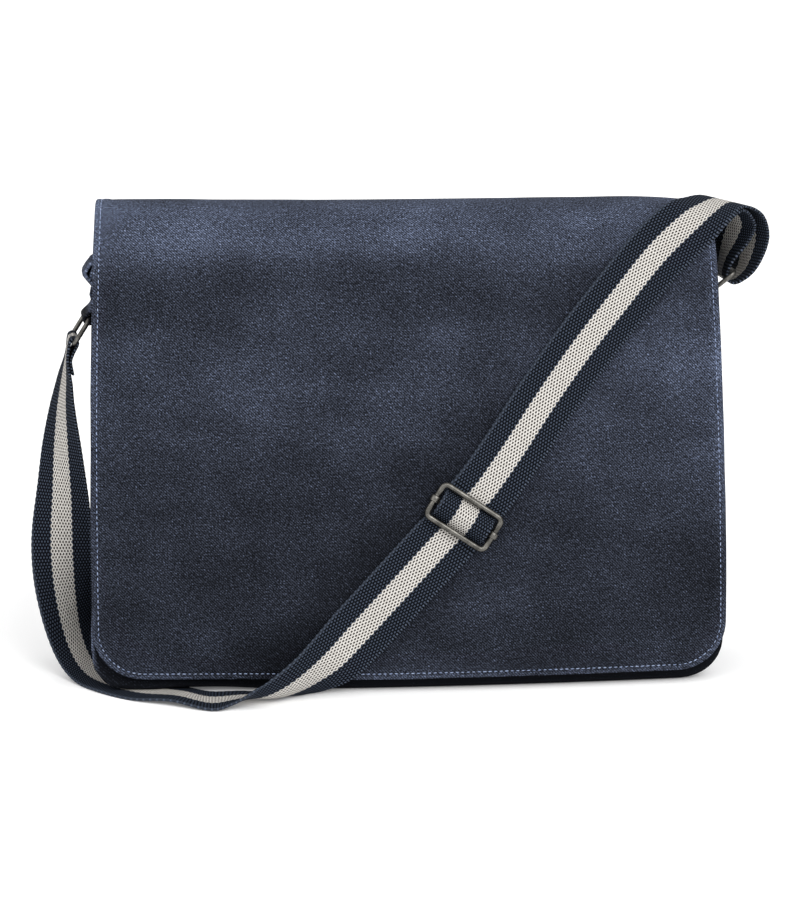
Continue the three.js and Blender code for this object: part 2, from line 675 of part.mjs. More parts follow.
function sliderFrame() {
  return sliderPlace(wireFrame(SLIDER_LENGTH, SLIDER_HEIGHT, SLIDER_WIRE));
}

// One body from two that overlap.
function join(first, second) {
  const solid = (geometry) => {
    const bare = new THREE.BufferGeometry();
    bare.setAttribute('position', geometry.getAttribute('position').clone());
    bare.setIndex(geometry.index ? geometry.index.clone() : null);
    const merged = mergeVertices(bare);
    return new wasm.Manifold(new wasm.Mesh({
      numProp: 3,
      vertProperties: Float32Array.from(merged.getAttribute('position').array),
      triVerts: Uint32Array.from(merged.index.array),
    }));
  };
  const mesh = solid(first).add(solid(second)).getMesh();
  const geometry = new THREE.BufferGeometry();
  geometry.setAttribute('position', new THREE.Float32BufferAttribute(mesh.vertProperties, 3));
  geometry.setIndex(Array.from(mesh.triVerts));
  return geometry;
}

// A short tube round one of the frame's short sides.
function collar(x) {
  const shape = new THREE.Shape().absarc(0, 0, COLLAR_DIAMETER / 2, 0, 2 * Math.PI, false);
  shape.holes.push(new THREE.Path().absarc(0, 0, COLLAR_BORE / 2, 0, 2 * Math.PI, true));
  const geometry = new THREE.ExtrudeGeometry(shape, {
    depth: COLLAR_LENGTH,
    bevelEnabled: false,
    curveSegments: 6,
  });
  return geometry.translate(0, 0, -COLLAR_LENGTH / 2).rotateX(Math.PI / 2).translate(x, 0, 0);
}

// A flat bar that slides on collars round the frame's short sides.
function sliderBar() {
  const wireX = (SLIDER_LENGTH - SLIDER_WIRE) / 2;
  const wall = (COLLAR_DIAMETER - COLLAR_BORE) / 4;
  const half = wireX - COLLAR_BORE / 2 - wall;
  const bar = new THREE.BoxGeometry(2 * half, BAR_WIDTH, BAR_THICKNESS);
  return sliderPlace(join(join(bar, collar(-wireX)), collar(wireX)));
}

// Scene graph

function material(colour, roughness, metalness) {
  return new THREE.MeshStandardMaterial({ color: colour, roughness, metalness });
}

const bag = new THREE.Group();

function add(name, geometry, finish) {
  const mesh = new THREE.Mesh(geometry, finish);
  mesh.name = name;
  bag.add(mesh);
}

add('front_panel', panel(FRONT_SECTIONS, MOUTH_HEIGHT, 1), material(COLOURS.shadedCanvas, 0.9, 0));
add('back_panel', panel(BACK_SECTIONS, BACK_HEIGHT, -1), material(COLOURS.canvas, 0.9, 0));
add('gusset', gusset(), material(COLOURS.canvas, 0.9, 0));
add('flap', flap(), material(COLOURS.canvas, 0.9, 0));
add('strap', strap(), material(COLOURS.webbing, 0.8, 0));
for (const [side, place] of [['left', LEFT_RING], ['right', RIGHT_RING]]) {
  add(`ring_${side}`, ring(place), material(COLOURS.nickel, 0.35, 1));
  add(`ring_tab_${side}`, ringTab(place), material(COLOURS.canvas, 0.9, 0));
}
add('slider_frame', sliderFrame(), material(COLOURS.nickel, 0.35, 1));
add('slider_bar', sliderBar(), material(COLOURS.nickel, 0.35, 1));

export default bag;
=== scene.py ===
"""Looks of a washed navy canvas dispatch bag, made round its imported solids.

Lengths are in millimetres in the solids' frame: +X to the right as seen from the front, +Y to the
back and +Z up. MM turns them into Blender's metres where a mesh is made.
"""

import math

import bpy
import numpy as np
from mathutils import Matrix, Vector, noise


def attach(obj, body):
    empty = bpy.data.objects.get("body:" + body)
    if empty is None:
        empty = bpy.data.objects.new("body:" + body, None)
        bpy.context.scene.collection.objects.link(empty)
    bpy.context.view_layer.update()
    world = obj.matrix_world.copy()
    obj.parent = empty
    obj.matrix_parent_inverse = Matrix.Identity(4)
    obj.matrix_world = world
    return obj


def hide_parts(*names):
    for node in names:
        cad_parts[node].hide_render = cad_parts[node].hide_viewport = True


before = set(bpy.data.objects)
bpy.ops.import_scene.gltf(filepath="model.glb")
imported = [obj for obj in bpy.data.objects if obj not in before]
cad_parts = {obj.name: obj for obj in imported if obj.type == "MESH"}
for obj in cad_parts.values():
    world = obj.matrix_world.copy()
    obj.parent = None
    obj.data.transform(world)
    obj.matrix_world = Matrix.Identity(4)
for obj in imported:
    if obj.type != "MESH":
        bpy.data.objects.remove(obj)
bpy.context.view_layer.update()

MM = 0.001


def table(columns, *rows):
    """Named columns of numbers."""
    return {name: np.array(values, float) for name, values in zip(columns.split(), zip(*rows))}


# Cloth and seams
CANVAS = 1.8
SEAT_GAP = 0.3
HALF_WIDTH = 200
PANEL_HALF_WIDTH = 199.2
PANEL_FLOOR_GAP = 0.8
CORNER_RADIUS = 27
MOUTH_HEIGHT = 266
BACK_HEIGHT = 284
BAG_MIDDLE = (0, 0, 150)
PANEL_ROOM = 2.316
CROWN = 2.4
FLAT_SHARE = 0.55
CORNER_LIFT = 3.2
CORNER_SQUARE = 0.4
CORNER_SAG = 1.4
CORNER_FORWARD = 5
SIDE_TAPER = 4.5
SEAM_EAR = 2.4
FLAP_CORNER_RADIUS = 31
FLAP_FRONT_FROM = 96
FLAP_LEFT_DROOP = 0.5
FLAP_RIGHT_DROOP = 2.8
FLAP_DROOP_POWER = 8
FLAP_RISE = 1.5
HEM_WIDTH = 8.5
STITCH_INSET = 3.5
STITCH_PITCH = 3.5
STITCH_LENGTH = 2.5
THREAD = 0.75

# Strap, rings and adjuster
STRAP_WIDTH = 38
STRAP_THICKNESS = 1.6
LAYER_LIFT = 1.1
LAYER_STEP = 2.1
TURN_REACH = 2.2
WIRE = 3
RING_LENGTH = 46
RING_HEIGHT = 21
RING_CORNER = 4
RING_DEPTH = 13
TAB_WIDTH = 36
TAB_SHARES = np.linspace(0.2, 0.9, 8)
SLIDER_LENGTH = 46.6
SLIDER_HEIGHT = 26.8
SLIDER_TURN = math.radians(6.5)
SLIDER_WIRE = 3.7
SLIDER_CORNER = 3.4
SLIDER_LIFT = 6.5
SLIDER_AT = (31.6, 109.9)
UNDER_WIRE = 10.4
FLAT_FROM = 17
BUTT_GAP = 0.25
BAR_WIDTH = 3.4
BAR_THICKNESS = 1.6
COLLAR_LENGTH = 4.2
COLLAR_BORE = 4
COLLAR_DIAMETER = 6.2
SQUEEZE = 0.93
RING_SQUEEZE = 0.96

FRONT = table(
    "height depth bulge",
    (0, -56.5, 10),
    (8, -60, 10),
    (20, -62, 10),
    (60, -59.5, 10),
    (140, -46.5, 8),
    (215, -30.5, 5),
    (266, -17.5, 3),
)
BACK = table(
    "height depth bulge",
    (0, 52, -8),
    (8, 55, -8),
    (20, 57, -8),
    (60, 56, -8),
    (140, 52, -7),
    (215, 47.5, -5),
    (290, 43, -4),
)
GUSSET_SWELL = table(
    "height left right",
    (0, 0, 0),
    (60, 0.5, 0.5),
    (130, -3, -3),
    (200, -4, -4),
    (236, -2, -4),
    (244, -1, -4),
    (249, 1, -3.5),
    (254, 5.5, -2.5),
    (260, 9, -1),
    (266, 5, 0),
)
# The left hem of the gusset's mouth rolls in over itself: inward from its fold, and height.
MOUTH_ROLL = (
    (0.8, 267.2),
    (2.2, 268),
    (3.8, 267.6),
    (4.6, 265.6),
    (3.4, 262.5),
    (2.2, 259),
    (2.6, 255.5),
    (4.2, 251),
)
FLAP = table(
    "along depth height half bulge sag",
    (0, 46.8, 262, 194.5, -4, 0),
    (29, 45.1, 291, 194.5, -4, 1),
    (43, 37, 301.5, 194.5, -2, 2.5),
    (62, 19, 304.5, 194.5, 0, 2.5),
    (80, 2, 302, 195, 2, 2.5),
    (96, -10, 292, 195.5, 3, 1.5),
    (121, -21, 270, 196.5, 4, 0),
    (180, -34.5, 213, 198.5, 5, 0),
    (255, -50, 140, 200, 8, 0),
    (336, -63, 60, 200.5, 10, 0),
    (388, -66.2, 8.6, 200.5, 10, 0),
)
FLAP_LENGTH = 388

# Centre lines of the ring bars: across and height of the bar in the tab, then of the strap's bar.
RINGS = {"left": (-201.3, 230.4, -211, 215.2), "right": (196.8, 245.4, 211, 256.5)}
# How far the bars turn away from +Y, and the heights at which the tabs are sewn on.
RING_ACROSS = {"left": -0.06, "right": 0}
TAB_HEIGHTS = {"left": (246.5, 244.25, 242), "right": (258, 254.5, 251)}

# The left turning's tail, from the ring's bar: across, height, and how far its edge turns from -Y.
TAIL_ROUTE = ((-2.9, -20, 0.17), (-1.9, -11.5, 0.05), (-0.4, -6.8, 0.05))
# Strap route: centre, direction from the outer to the inner edge, and cup between the halves.
HANGING_ROUTE = (
    (-215.2, 13, 204, 0.06, -0.99, 0, 0),
    (-216.6, 13, 190, 0.24, -0.97, 0, 0),
    (-218.4, 12, 173, 0.4, -0.9, 0, 0),
    (-219.5, 10, 146, 0.66, -0.75, 0, 0),
    (-219.8, 8, 117, 0.86, -0.5, 0, 0),
    (-221, 8, 80, 1, 0, 0, 0),
    (-219.5, 9, 48, 0.88, 0.45, 0.1, 0),
    (-214.5, 5, 21, 0.615, 0.703, 0.353, 0),
)
FLOOR_ROUTE = (
    (-205.2, -11, 5.9, 0.496, 0.853, 0.164, 0),
    (-187.4, -36, 1.55, 0.547, 0.837, 0.018, 0),
    (-168, -55, 1.5, 0.5, 0.866, 0.02, 0),
    (-147, -68, 2.45, 0.3, 0.952, -0.062, 0),
    (-127, -81.5, 1.5, 0.03, 1, 0.01, 0),
    (-108, -80, 2.8, 0.27, 0.95, -0.09, 0),
    (-90, -86, 4.4, 0.53, 0.78, -0.3, 20),
    (-77, -81, 7.8, 0.62, 0.65, -0.42, 18),
    (-63.5, -77, 15.5, 0.59, 0.5, -0.63, 8),
    (-51, -73.5, 24.5, 0.69, 0.2, -0.68, 0),
)
# Across and height on the flap.
LOWER_DIAGONAL = ((-34, 40), (-16, 59), (6, 82))
UPPER_DIAGONAL = ((62, 148), (85, 181), (110, 214), (135, 244), (158, 270))
CORNER_ROUTE = (
    (180, -17, 290.5, 0.66, -0.46, -0.54, 0),
    (190.5, -12, 297, 0.6, -0.7, -0.3, 0),
    (203, -4, 301.4, 0.52, -0.84, -0.1, 0),
    (217, 1.5, 295.5, 0.48, -0.87, -0.08, 0),
    (223, 5, 281, 0.44, -0.9, -0.03, 0),
    (222, 8, 266.5, 0.33, -0.94, 0, 0),
    (218.5, 11, 255, 0.15, -0.99, 0, 0),
    (211.5, 13, 249, 0, -1, 0, 0),
    (206.2, 13, 252.2, 0.02, -1, 0, 0),
    (207.3, 12.5, 263, 0.12, -0.99, 0, 0),
    (211, 8.5, 276, 0.44, -0.9, 0, 0),
    (213, 4, 288, 0.5, -0.86, -0.08, 0),
    (203.5, -2.5, 298.9, 0.54, -0.83, -0.1, 0),
    (189.5, -10.5, 294.4, 0.6, -0.7, -0.3, 0),
    (179, -15.2, 288.2, 0.66, -0.46, -0.54, 0),
)

# Distances from a sheet's edge at which its mesh is fine, to take a hem and its stitch groove.
EDGE_STEPS = np.array((0, 0.5, 1.1, 1.8, 2.5, 3.1, 3.5, 3.9, 4.5, 5.4, 6.4, 7.4, 8.2, 9, 10, 12, 15, 19))
CLOTH_STEP = 4.5
STRAP_STEP = 1.0

# Places of the webbing's beads, in metres: between their columns, and between beads in a column.
BEAD_ACROSS = 0.00097
BEAD_ALONG = 0.00405

# Camera and light, in metres
CAMERA_PLACE = (-0.15425, -1.7711, 0.478)
CAMERA_AIM = (-0.004, -0.0093, 0.1412)
CAMERA_LENS = 111.26
CAMERA_SENSOR = 36
# Name, strength, softness in degrees and the way that the light goes.
LIGHTS = (("soft_key", 1.9, 40, (-0.4, 0.7, -0.55)), ("fill", 0.8, 60, (0.65, 0.6, -0.45)))


# Numbers and curves


def read(columns, values):
    """Every column of a table at values of its first column, on a smooth curve."""
    keys = next(iter(columns.values()))
    last = len(keys) - 1
    row = np.clip(np.searchsorted(keys, values) - 1, 0, last - 1)
    before = np.maximum(row - 1, 0)
    to = row + 1
    after = np.minimum(row + 2, last)
    span = keys[to] - keys[row]
    t = np.clip((values - keys[row]) / span, 0, 1)
    h = t * t * (3 - 2 * t)
    result = {}
    for name, column in columns.items():
        slope_in = (column[to] - column[before]) / (keys[to] - keys[before])
        slope_out = (column[after] - column[row]) / (keys[after] - keys[row])
        bend = span * t * (1 - t) * ((1 - t) * slope_in - t * slope_out)
        result[name] = column[row] * (1 - h) + column[to] * h + bend
    return result


def ease(values, start, end):
    """0 up to start and 1 from end, smoothly between."""
    t = np.clip((values - start) / (end - start), 0, 1)
    return t * t * (3 - 2 * t)


def unit(vectors):
    return vectors / np.linalg.norm(vectors, axis=-1, keepdims=True)


def wander(across, along, size, seed):
    """Soft noise from about -1 to 1 with bumps of a size, at places on a cloth."""
    places = np.stack(np.broadcast_arrays(across / size, along / size, seed), axis=-1)
    values = [noise.noise(Vector(place)) for place in places.reshape(-1, 3)]
    return np.reshape(values, places.shape[:-1])


def smooth_line(points, steps, even):
    """A smooth curve through points, with a number of steps between each pair.

    even keeps it from overshooting where the points' distances differ.
    """
    points = np.asarray(points, float)
    row = np.vstack([2 * points[:1] - points[1:2], points, 2 * points[-1:] - points[-2:-1]])
    a, b, c, d = row[:-3], row[1:-2], row[2:-1], row[3:]
    slope_out = (c - a) / 2
    slope_in = (d - b) / 2
    if even:
        gap = np.sqrt(np.linalg.norm(np.diff(row, axis=0), axis=1))[:, None]
        before, here, after = gap[:-2], gap[1:-1], gap[2:]
        slope_out = here * ((b - a) / before - (c - a) / (before + here) + (c - b) / here)
        slope_in = here * ((c - b) / here - (d - b) / (here + after) + (d - c) / after)
    t = np.linspace(0, 1, steps, endpoint=False)[:, None, None]
    curve = b + t * slope_out + t ** 2 * (3 * (c - b) - 2 * slope_out - slope_in)
    curve = curve + t ** 3 * (2 * (b - c) + slope_out + slope_in)
    return np.vstack([np.swapaxes(curve, 0, 1).reshape(-1, points.shape[1]), points[-1:]])


def lengths_along(points):
    """Distance of each point from the first, along the line."""
    return np.concatenate([[0], np.cumsum(np.linalg.norm(np.diff(points, axis=0), axis=1))])


def rounded_half(half, radius, from_bottom):
    """Half width of a sheet with round bottom corners."""
    rise = np.maximum(radius - from_bottom, 0)
    return half - radius + np.sqrt(radius ** 2 - rise ** 2)


def edge_distance(across, half, from_bottom, radius):
    """Distance from the sides and the round-cornered bottom of a sheet."""
    beside = np.abs(across) - (half - radius)
    below = radius - from_bottom
    corner = radius - np.hypot(np.maximum(beside, 0), np.maximum(below, 0))
    return np.where((beside > 0) & (below > 0), corner, np.minimum(half - np.abs(across), from_bottom))


def shares_across(half):
    """Places across a sheet from -1 to 1, close together at its edges."""
    inner = half - EDGE_STEPS[-1]
    middle = np.linspace(-inner, inner, round(2 * inner / CLOTH_STEP) + 1)[1:-1]
    left = EDGE_STEPS - half
    return np.concatenate([left, middle, -left[::-1]]) / half


def distances_up(length, radius):
    """Distances from a sheet's bottom edge, close together at the edge and round its corners."""
    turn = np.linspace(0, math.pi / 2, 14)
    corner = radius * (1 - np.cos(turn))
    corner = corner[corner > EDGE_STEPS[-1]]
    rest = np.linspace(radius, length, round((length - radius) / CLOTH_STEP) + 1)[1:]
    return np.concatenate([EDGE_STEPS, corner, rest])


# Meshes


def add_object(name, data):
    thing = bpy.data.objects.new(name, data)
    bpy.context.scene.collection.objects.link(thing)
    return thing


def make_mesh(name, points, faces, flat=None, fade=None):
    """A smooth mesh. flat is each point's place on the cut cloth and fade how light its colour is:
    its wash, and on some pieces painted light and painted shade.
    """
    mesh = bpy.data.meshes.new(name)
    mesh.from_pydata((np.asarray(points) * MM).tolist(), [], faces)
    mesh.polygons.foreach_set("use_smooth", [True] * len(mesh.polygons))
    if flat is not None:
        corner = np.empty(len(mesh.loops), int)
        mesh.loops.foreach_get("vertex_index", corner)
        mesh.uv_layers.new(name="cloth").data.foreach_set("uv", (flat[corner] * MM).ravel())
        mesh.attributes.new("fade", "FLOAT", "POINT").data.foreach_set("value", fade)
    return add_object(name, mesh)


def cloth_sheet(name, grid, flat, fade, thickness, outer_share, middle=None):
    """A closed sheet with a round rim over a grid of points.

    outer_share of the thickness lies on the grid's outer side. Where a middle is given, that is
    the side away from it.
    """
    normal = unit(np.cross(np.gradient(grid, axis=1), np.gradient(grid, axis=0)))
    if middle is not None and np.sum(normal * (grid - middle)) < 0:
        grid, flat, fade, normal = grid[:, ::-1], flat[:, ::-1], fade[:, ::-1], -normal[:, ::-1]
    rows, columns = grid.shape[:2]
    outer = grid + normal * thickness * outer_share
    inner = outer - normal * thickness
    index = np.arange(rows * columns).reshape(rows, columns)
    rim = np.concatenate([index[0, :-1], index[:-1, -1], index[-1, :0:-1], index[:0:-1, 0]])
    row, column = np.divmod(rim, columns)
    inside = grid[np.clip(row, 1, rows - 2), np.clip(column, 1, columns - 2)]
    away = unit(grid[row, column] - inside)
    turn = (outer + inner)[row, column] / 2 + away * thickness * 0.35
    points = np.concatenate([outer.reshape(-1, 3), inner.reshape(-1, 3), turn])
    count = rows * columns
    corners = (index[:-1, :-1], index[:-1, 1:], index[1:, 1:], index[1:, :-1])
    a, b, c, d = (corner.ravel() for corner in corners)
    face = np.stack([a, b, c, d], axis=1)
    lining = np.stack([a, d, c, b], axis=1) + count
    here = 2 * count + np.arange(len(rim))
    ahead = np.roll(here, -1)
    edge = np.roll(rim, -1)
    upper = np.stack([edge, rim, here, ahead], axis=1)
    lower = np.stack([ahead, here, rim + count, edge + count], axis=1)
    faces = np.concatenate([face, lining, upper, lower]).tolist()
    flat = flat.reshape(-1, 2)
    fade = fade.ravel()
    flat = np.concatenate([flat, flat, flat[rim]])
    fade = np.concatenate([fade, fade, fade[rim]])
    return make_mesh(name, points, faces, flat, fade)


def ribbon(name, centre, edge, width, cup, thickness, fade, scallop):
    """A closed ribbon along a line of centres, with its width along the edge directions."""
    along = lengths_along(centre)
    face = unit(np.cross(np.gradient(centre, axis=0), edge))
    shares = np.array((-1, -0.97, -0.9, -0.75, -0.55, -0.36, -0.18, 0, 0.18, 0.36, 0.55, 0.75, 0.9, 0.97, 1))
    half = (width[:, None] / 2 + scallop[:, None] * (np.abs(shares) > 0.95)) * shares
    tilt = np.radians(cup / 2)[:, None]
    rise = np.abs(shares) ** 1.4 * width[:, None] / 2 * np.sin(tilt)
    grid = centre[:, None] + edge[:, None] * (half * np.cos(tilt))[..., None]
    grid = grid + face[:, None] * rise[..., None]
    flat = np.stack(np.broadcast_arrays(shares * width.max() / 2, along[:, None]), axis=-1)
    return cloth_sheet(name, grid, flat, np.broadcast_to(fade[:, None], flat.shape[:2]), thickness, 0.5)


def poly_curve(name, points):
    """A curve object along points, open at its ends."""
    curve = bpy.data.curves.new(name, "CURVE")
    curve.dimensions = "3D"
    spline = curve.splines.new("POLY")
    spline.points.add(len(points) - 1)
    spline.points.foreach_set("co", np.column_stack([points * MM, np.ones(len(points))]).ravel())
    return add_object(name, curve)


# Nodes


def put(tree, kind, inputs=(), **settings):
    """Adds a node with its settings. Each input takes a value, a socket or a node's first output."""
    node = tree.nodes.new(kind)
    for name, value in settings.items():
        setattr(node, name, value)
    for name, value in dict(inputs).items():
        if isinstance(value, bpy.types.Node):
            value = value.outputs[0]
        if isinstance(value, bpy.types.NodeSocket):
            tree.links.new(value, node.inputs[name])
        else:
            node.inputs[name].default_value = value
    return node


def linear(colour):
    """An sRGB hex colour as linear RGBA."""
    parts = [int(colour[i:i + 2], 16) / 255 for i in (1, 3, 5)]
    return tuple(p / 12.92 if p <= 0.04045 else ((p + 0.055) / 1.055) ** 2.4 for p in parts) + (1,)


def new_material(name):
    """A material, its node tree and its shader."""
    material = bpy.data.materials.new(name)
    material.use_nodes = True
    tree = material.node_tree
    tree.nodes.clear()
    shader = put(tree, "ShaderNodeBsdfPrincipled")
    put(tree, "ShaderNodeOutputMaterial", {"Surface": shader})
    return material, tree, shader


def set_ramp(ramp, *stops):
    """Places and hex colours of a colour ramp."""
    elements = ramp.color_ramp.elements
    while len(elements) < len(stops):
        elements.new(1)
    for element, (place, colour) in zip(elements, stops):
        element.position = place
        element.color = linear(colour)


def washed_canvas():
    """Garment-washed navy cotton twill canvas.

    The dye has rubbed off the tops of the yarns and along folds and hems, so light flecks lie on
    dark blue with cloudy patches, and the twill runs down to the right. The fade attribute adds this
    wash, and on some pieces also painted light and painted shade. The real yarn of about
    0.5 mm is drawn at 0.8 to 1.3 mm, up to two pixels, so that it shows in the render.
    """
    material, tree, shader = new_material("washed_navy_canvas")
    cloth = put(tree, "ShaderNodeUVMap", uv_map="cloth")
    fade = put(tree, "ShaderNodeAttribute", attribute_name="fade")
    cloud = put(tree, "ShaderNodeTexNoise", {
        "Vector": cloth, "Scale": 1 / 0.06, "Detail": 5, "Roughness": 0.6,
    })
    stretched = put(tree, "ShaderNodeMapping", {"Vector": cloth, "Scale": (1 / 0.14, 1 / 0.022, 1)})
    band = put(tree, "ShaderNodeTexNoise", {"Vector": stretched, "Scale": 1, "Detail": 3})
    turned = put(tree, "ShaderNodeMapping", {"Vector": cloth, "Rotation": (0, 0, math.radians(45))})
    twill = put(tree, "ShaderNodeTexWave", {
        "Vector": turned, "Scale": math.pi / 10 / 0.0013, "Distortion": 2.0,
        "Detail": 2, "Detail Scale": 1.4, "Detail Roughness": 0.7,
    }, bands_direction="X")
    warp_place = put(tree, "ShaderNodeMapping", {"Vector": cloth, "Scale": (1 / 0.0008, 1 / 0.0022, 1)})
    warp = put(tree, "ShaderNodeTexNoise", {"Vector": warp_place, "Scale": 1, "Detail": 2, "Roughness": 0.7})
    weft_place = put(tree, "ShaderNodeMapping", {"Vector": cloth, "Scale": (1 / 0.0044, 1 / 0.0008, 1)})
    weft = put(tree, "ShaderNodeTexNoise", {"Vector": weft_place, "Scale": 1, "Detail": 2, "Roughness": 0.7})
    fleck = put(tree, "ShaderNodeTexNoise", {"Vector": cloth, "Scale": 1 / 0.0011, "Detail": 1})
    shade = None
    weights = ((cloud, 0.46), (band, 0.16), (twill, 0.34), (warp, 0.76), (weft, 0.66), (fleck, 1.0))
    for source, weight in weights:
        centred = put(tree, "ShaderNodeMath", {0: source.outputs["Fac"], 1: -0.5}, operation="ADD")
        shade = put(tree, "ShaderNodeMath", {0: centred, 1: weight, 2: shade or 0.0},
                    operation="MULTIPLY_ADD")
    # The fade attribute adds each piece's wash, and on some pieces painted light and painted shade.
    lightness = put(tree, "ShaderNodeMath", {0: shade, 1: fade.outputs["Fac"]}, operation="ADD")
    ramp = put(tree, "ShaderNodeValToRGB", {"Fac": lightness})
    set_ramp(ramp, (0, "#090b10"), (0.25, "#1f222a"), (0.5, "#3a3f4c"), (0.75, "#5e6880"), (1, "#929eba"))
    tree.links.new(ramp.outputs["Color"], shader.inputs["Base Color"])
    height = put(tree, "ShaderNodeMath", {0: twill.outputs["Fac"], 1: 0.6, 2: warp.outputs["Fac"]},
                 operation="MULTIPLY_ADD")
    bump = put(tree, "ShaderNodeBump", {"Height": height, "Strength": 0.6, "Distance": 0.0004})
    tree.links.new(bump.outputs["Normal"], shader.inputs["Normal"])
    shader.inputs["Roughness"].default_value = 0.95
    shader.inputs["Specular IOR Level"].default_value = 0.1
    return material


def striped_webbing():
    """Heavy cotton webbing in a rib weave, navy with a cream middle stripe.

    Each crossing of the yarns is a small bead, in columns that are set half a step apart. Navy
    shows between the cream beads, and the navy beads have light tops, partly pale yarn and partly
    a painted highlight. The right edge has the weft's turns as light ticks, and along the left edge
    runs a thin light line, partly rubbed yarn and partly a painted highlight on the round edge.
    """
    material, tree, shader = new_material("striped_cotton_webbing")
    cloth = put(tree, "ShaderNodeUVMap", uv_map="cloth")
    place = put(tree, "ShaderNodeSeparateXYZ", {"Vector": cloth})
    column_place = put(tree, "ShaderNodeMath", {0: place.outputs["X"], 1: 1 / BEAD_ACROSS},
                       operation="MULTIPLY")
    column = put(tree, "ShaderNodeMath", {0: column_place}, operation="ROUND")
    beside = put(tree, "ShaderNodeMath", {0: column_place, 1: column}, operation="SUBTRACT")
    odd = put(tree, "ShaderNodeMath", {0: column, 1: 1}, operation="PINGPONG")
    half_step = put(tree, "ShaderNodeMath", {0: odd, 1: 0.5}, operation="MULTIPLY")
    row_place = put(tree, "ShaderNodeMath", {0: place.outputs["Y"], 1: 1 / BEAD_ALONG, 2: half_step},
                    operation="MULTIPLY_ADD")
    row = put(tree, "ShaderNodeMath", {0: row_place}, operation="ROUND")
    ahead = put(tree, "ShaderNodeMath", {0: row_place, 1: row}, operation="SUBTRACT")
    from_bead = put(tree, "ShaderNodeCombineXYZ", {"X": beside, "Y": ahead})
    reach = put(tree, "ShaderNodeVectorMath", {0: from_bead, 1: (BEAD_ACROSS, BEAD_ALONG, 0)},
                operation="MULTIPLY")
    distance = put(tree, "ShaderNodeVectorMath", {0: reach}, operation="LENGTH")
    spot = put(tree, "ShaderNodeMapRange", {
        "Value": distance.outputs["Value"], "From Min": 0.0004, "From Max": 0.00105, "To Min": 1, "To Max": 0,
    }, interpolation_type="SMOOTHSTEP")
    from_middle = put(tree, "ShaderNodeMath", {0: place.outputs["X"]}, operation="ABSOLUTE")
    turn = put(tree, "ShaderNodeMath", {0: place.outputs["Y"], 1: math.pi / BEAD_ALONG}, operation="MULTIPLY")
    wave = put(tree, "ShaderNodeMath", {0: turn}, operation="COSINE")
    lobe = put(tree, "ShaderNodeMath", {0: wave}, operation="ABSOLUTE")
    scallop = put(tree, "ShaderNodeMath", {0: lobe, 1: -0.0011, 2: from_middle}, operation="MULTIPLY_ADD")
    stripe = put(tree, "ShaderNodeMapRange", {
        "Value": scallop, "From Min": 0.0058, "From Max": 0.0062, "To Min": 1, "To Max": 0,
    })
    yarn = put(tree, "ShaderNodeTexNoise", {
        "Vector": cloth, "Scale": 1 / 0.0014, "Detail": 2, "Roughness": 0.6,
    })
    cream = put(tree, "ShaderNodeValToRGB", {"Fac": yarn.outputs["Fac"]})
    set_ramp(cream, (0.3, "#b2aea8"), (0.65, "#d0cdc8"))
    navy = put(tree, "ShaderNodeValToRGB", {"Fac": yarn.outputs["Fac"]})
    set_ramp(navy, (0.3, "#030406"), (0.7, "#0b0e14"))
    # Light tops on the navy beads: partly pale yarn, partly a painted highlight.
    navy_spot = put(tree, "ShaderNodeMath", {0: spot, 1: 1.9}, operation="POWER")
    cream_weave = put(tree, "ShaderNodeMix", {
        "Factor": spot, 6: cream.outputs["Color"], 7: linear("#221d1a"),
    }, data_type="RGBA")
    navy_weave = put(tree, "ShaderNodeMix", {
        "Factor": navy_spot, 6: navy.outputs["Color"], 7: linear("#3d4553"),
    }, data_type="RGBA")
    striped = put(tree, "ShaderNodeMix", {
        "Factor": stripe, 6: navy_weave.outputs[2], 7: cream_weave.outputs[2],
    }, data_type="RGBA")
    selvedge = put(tree, "ShaderNodeMapRange", {
        "Value": place.outputs["X"], "From Min": 0.0177, "From Max": 0.0185, "To Min": 0, "To Max": 0.25,
    })
    quick = put(tree, "ShaderNodeMath", {0: turn, 1: 4.0}, operation="MULTIPLY")
    tick_wave = put(tree, "ShaderNodeMath", {0: quick}, operation="COSINE")
    tick = put(tree, "ShaderNodeMapRange", {"Value": tick_wave, "From Min": 0.1, "From Max": 0.8})
    ticks = put(tree, "ShaderNodeMath", {0: selvedge, 1: tick}, operation="MULTIPLY")
    # A thin light line along the left edge: partly rubbed yarn, partly a painted highlight on the round edge.
    rubbed = put(tree, "ShaderNodeMapRange", {
        "Value": place.outputs["X"], "From Min": -0.0178, "From Max": -0.0186, "To Min": 0, "To Max": 0.12,
    })
    edge = put(tree, "ShaderNodeMath", {0: ticks, 1: rubbed}, operation="MAXIMUM")
    colour = put(tree, "ShaderNodeMix", {
        "Factor": edge, 6: striped.outputs[2], 7: linear("#7c879a"),
    }, data_type="RGBA")
    tree.links.new(colour.outputs[2], shader.inputs["Base Color"])
    bead = put(tree, "ShaderNodeMath", {0: yarn.outputs["Fac"], 1: 0.4, 2: spot}, operation="MULTIPLY_ADD")
    bump = put(tree, "ShaderNodeBump", {"Height": bead, "Strength": 0.8, "Distance": 0.0005})
    tree.links.new(bump.outputs["Normal"], shader.inputs["Normal"])
    shader.inputs["Roughness"].default_value = 0.85
    shader.inputs["Specular IOR Level"].default_value = 0.06
    return material


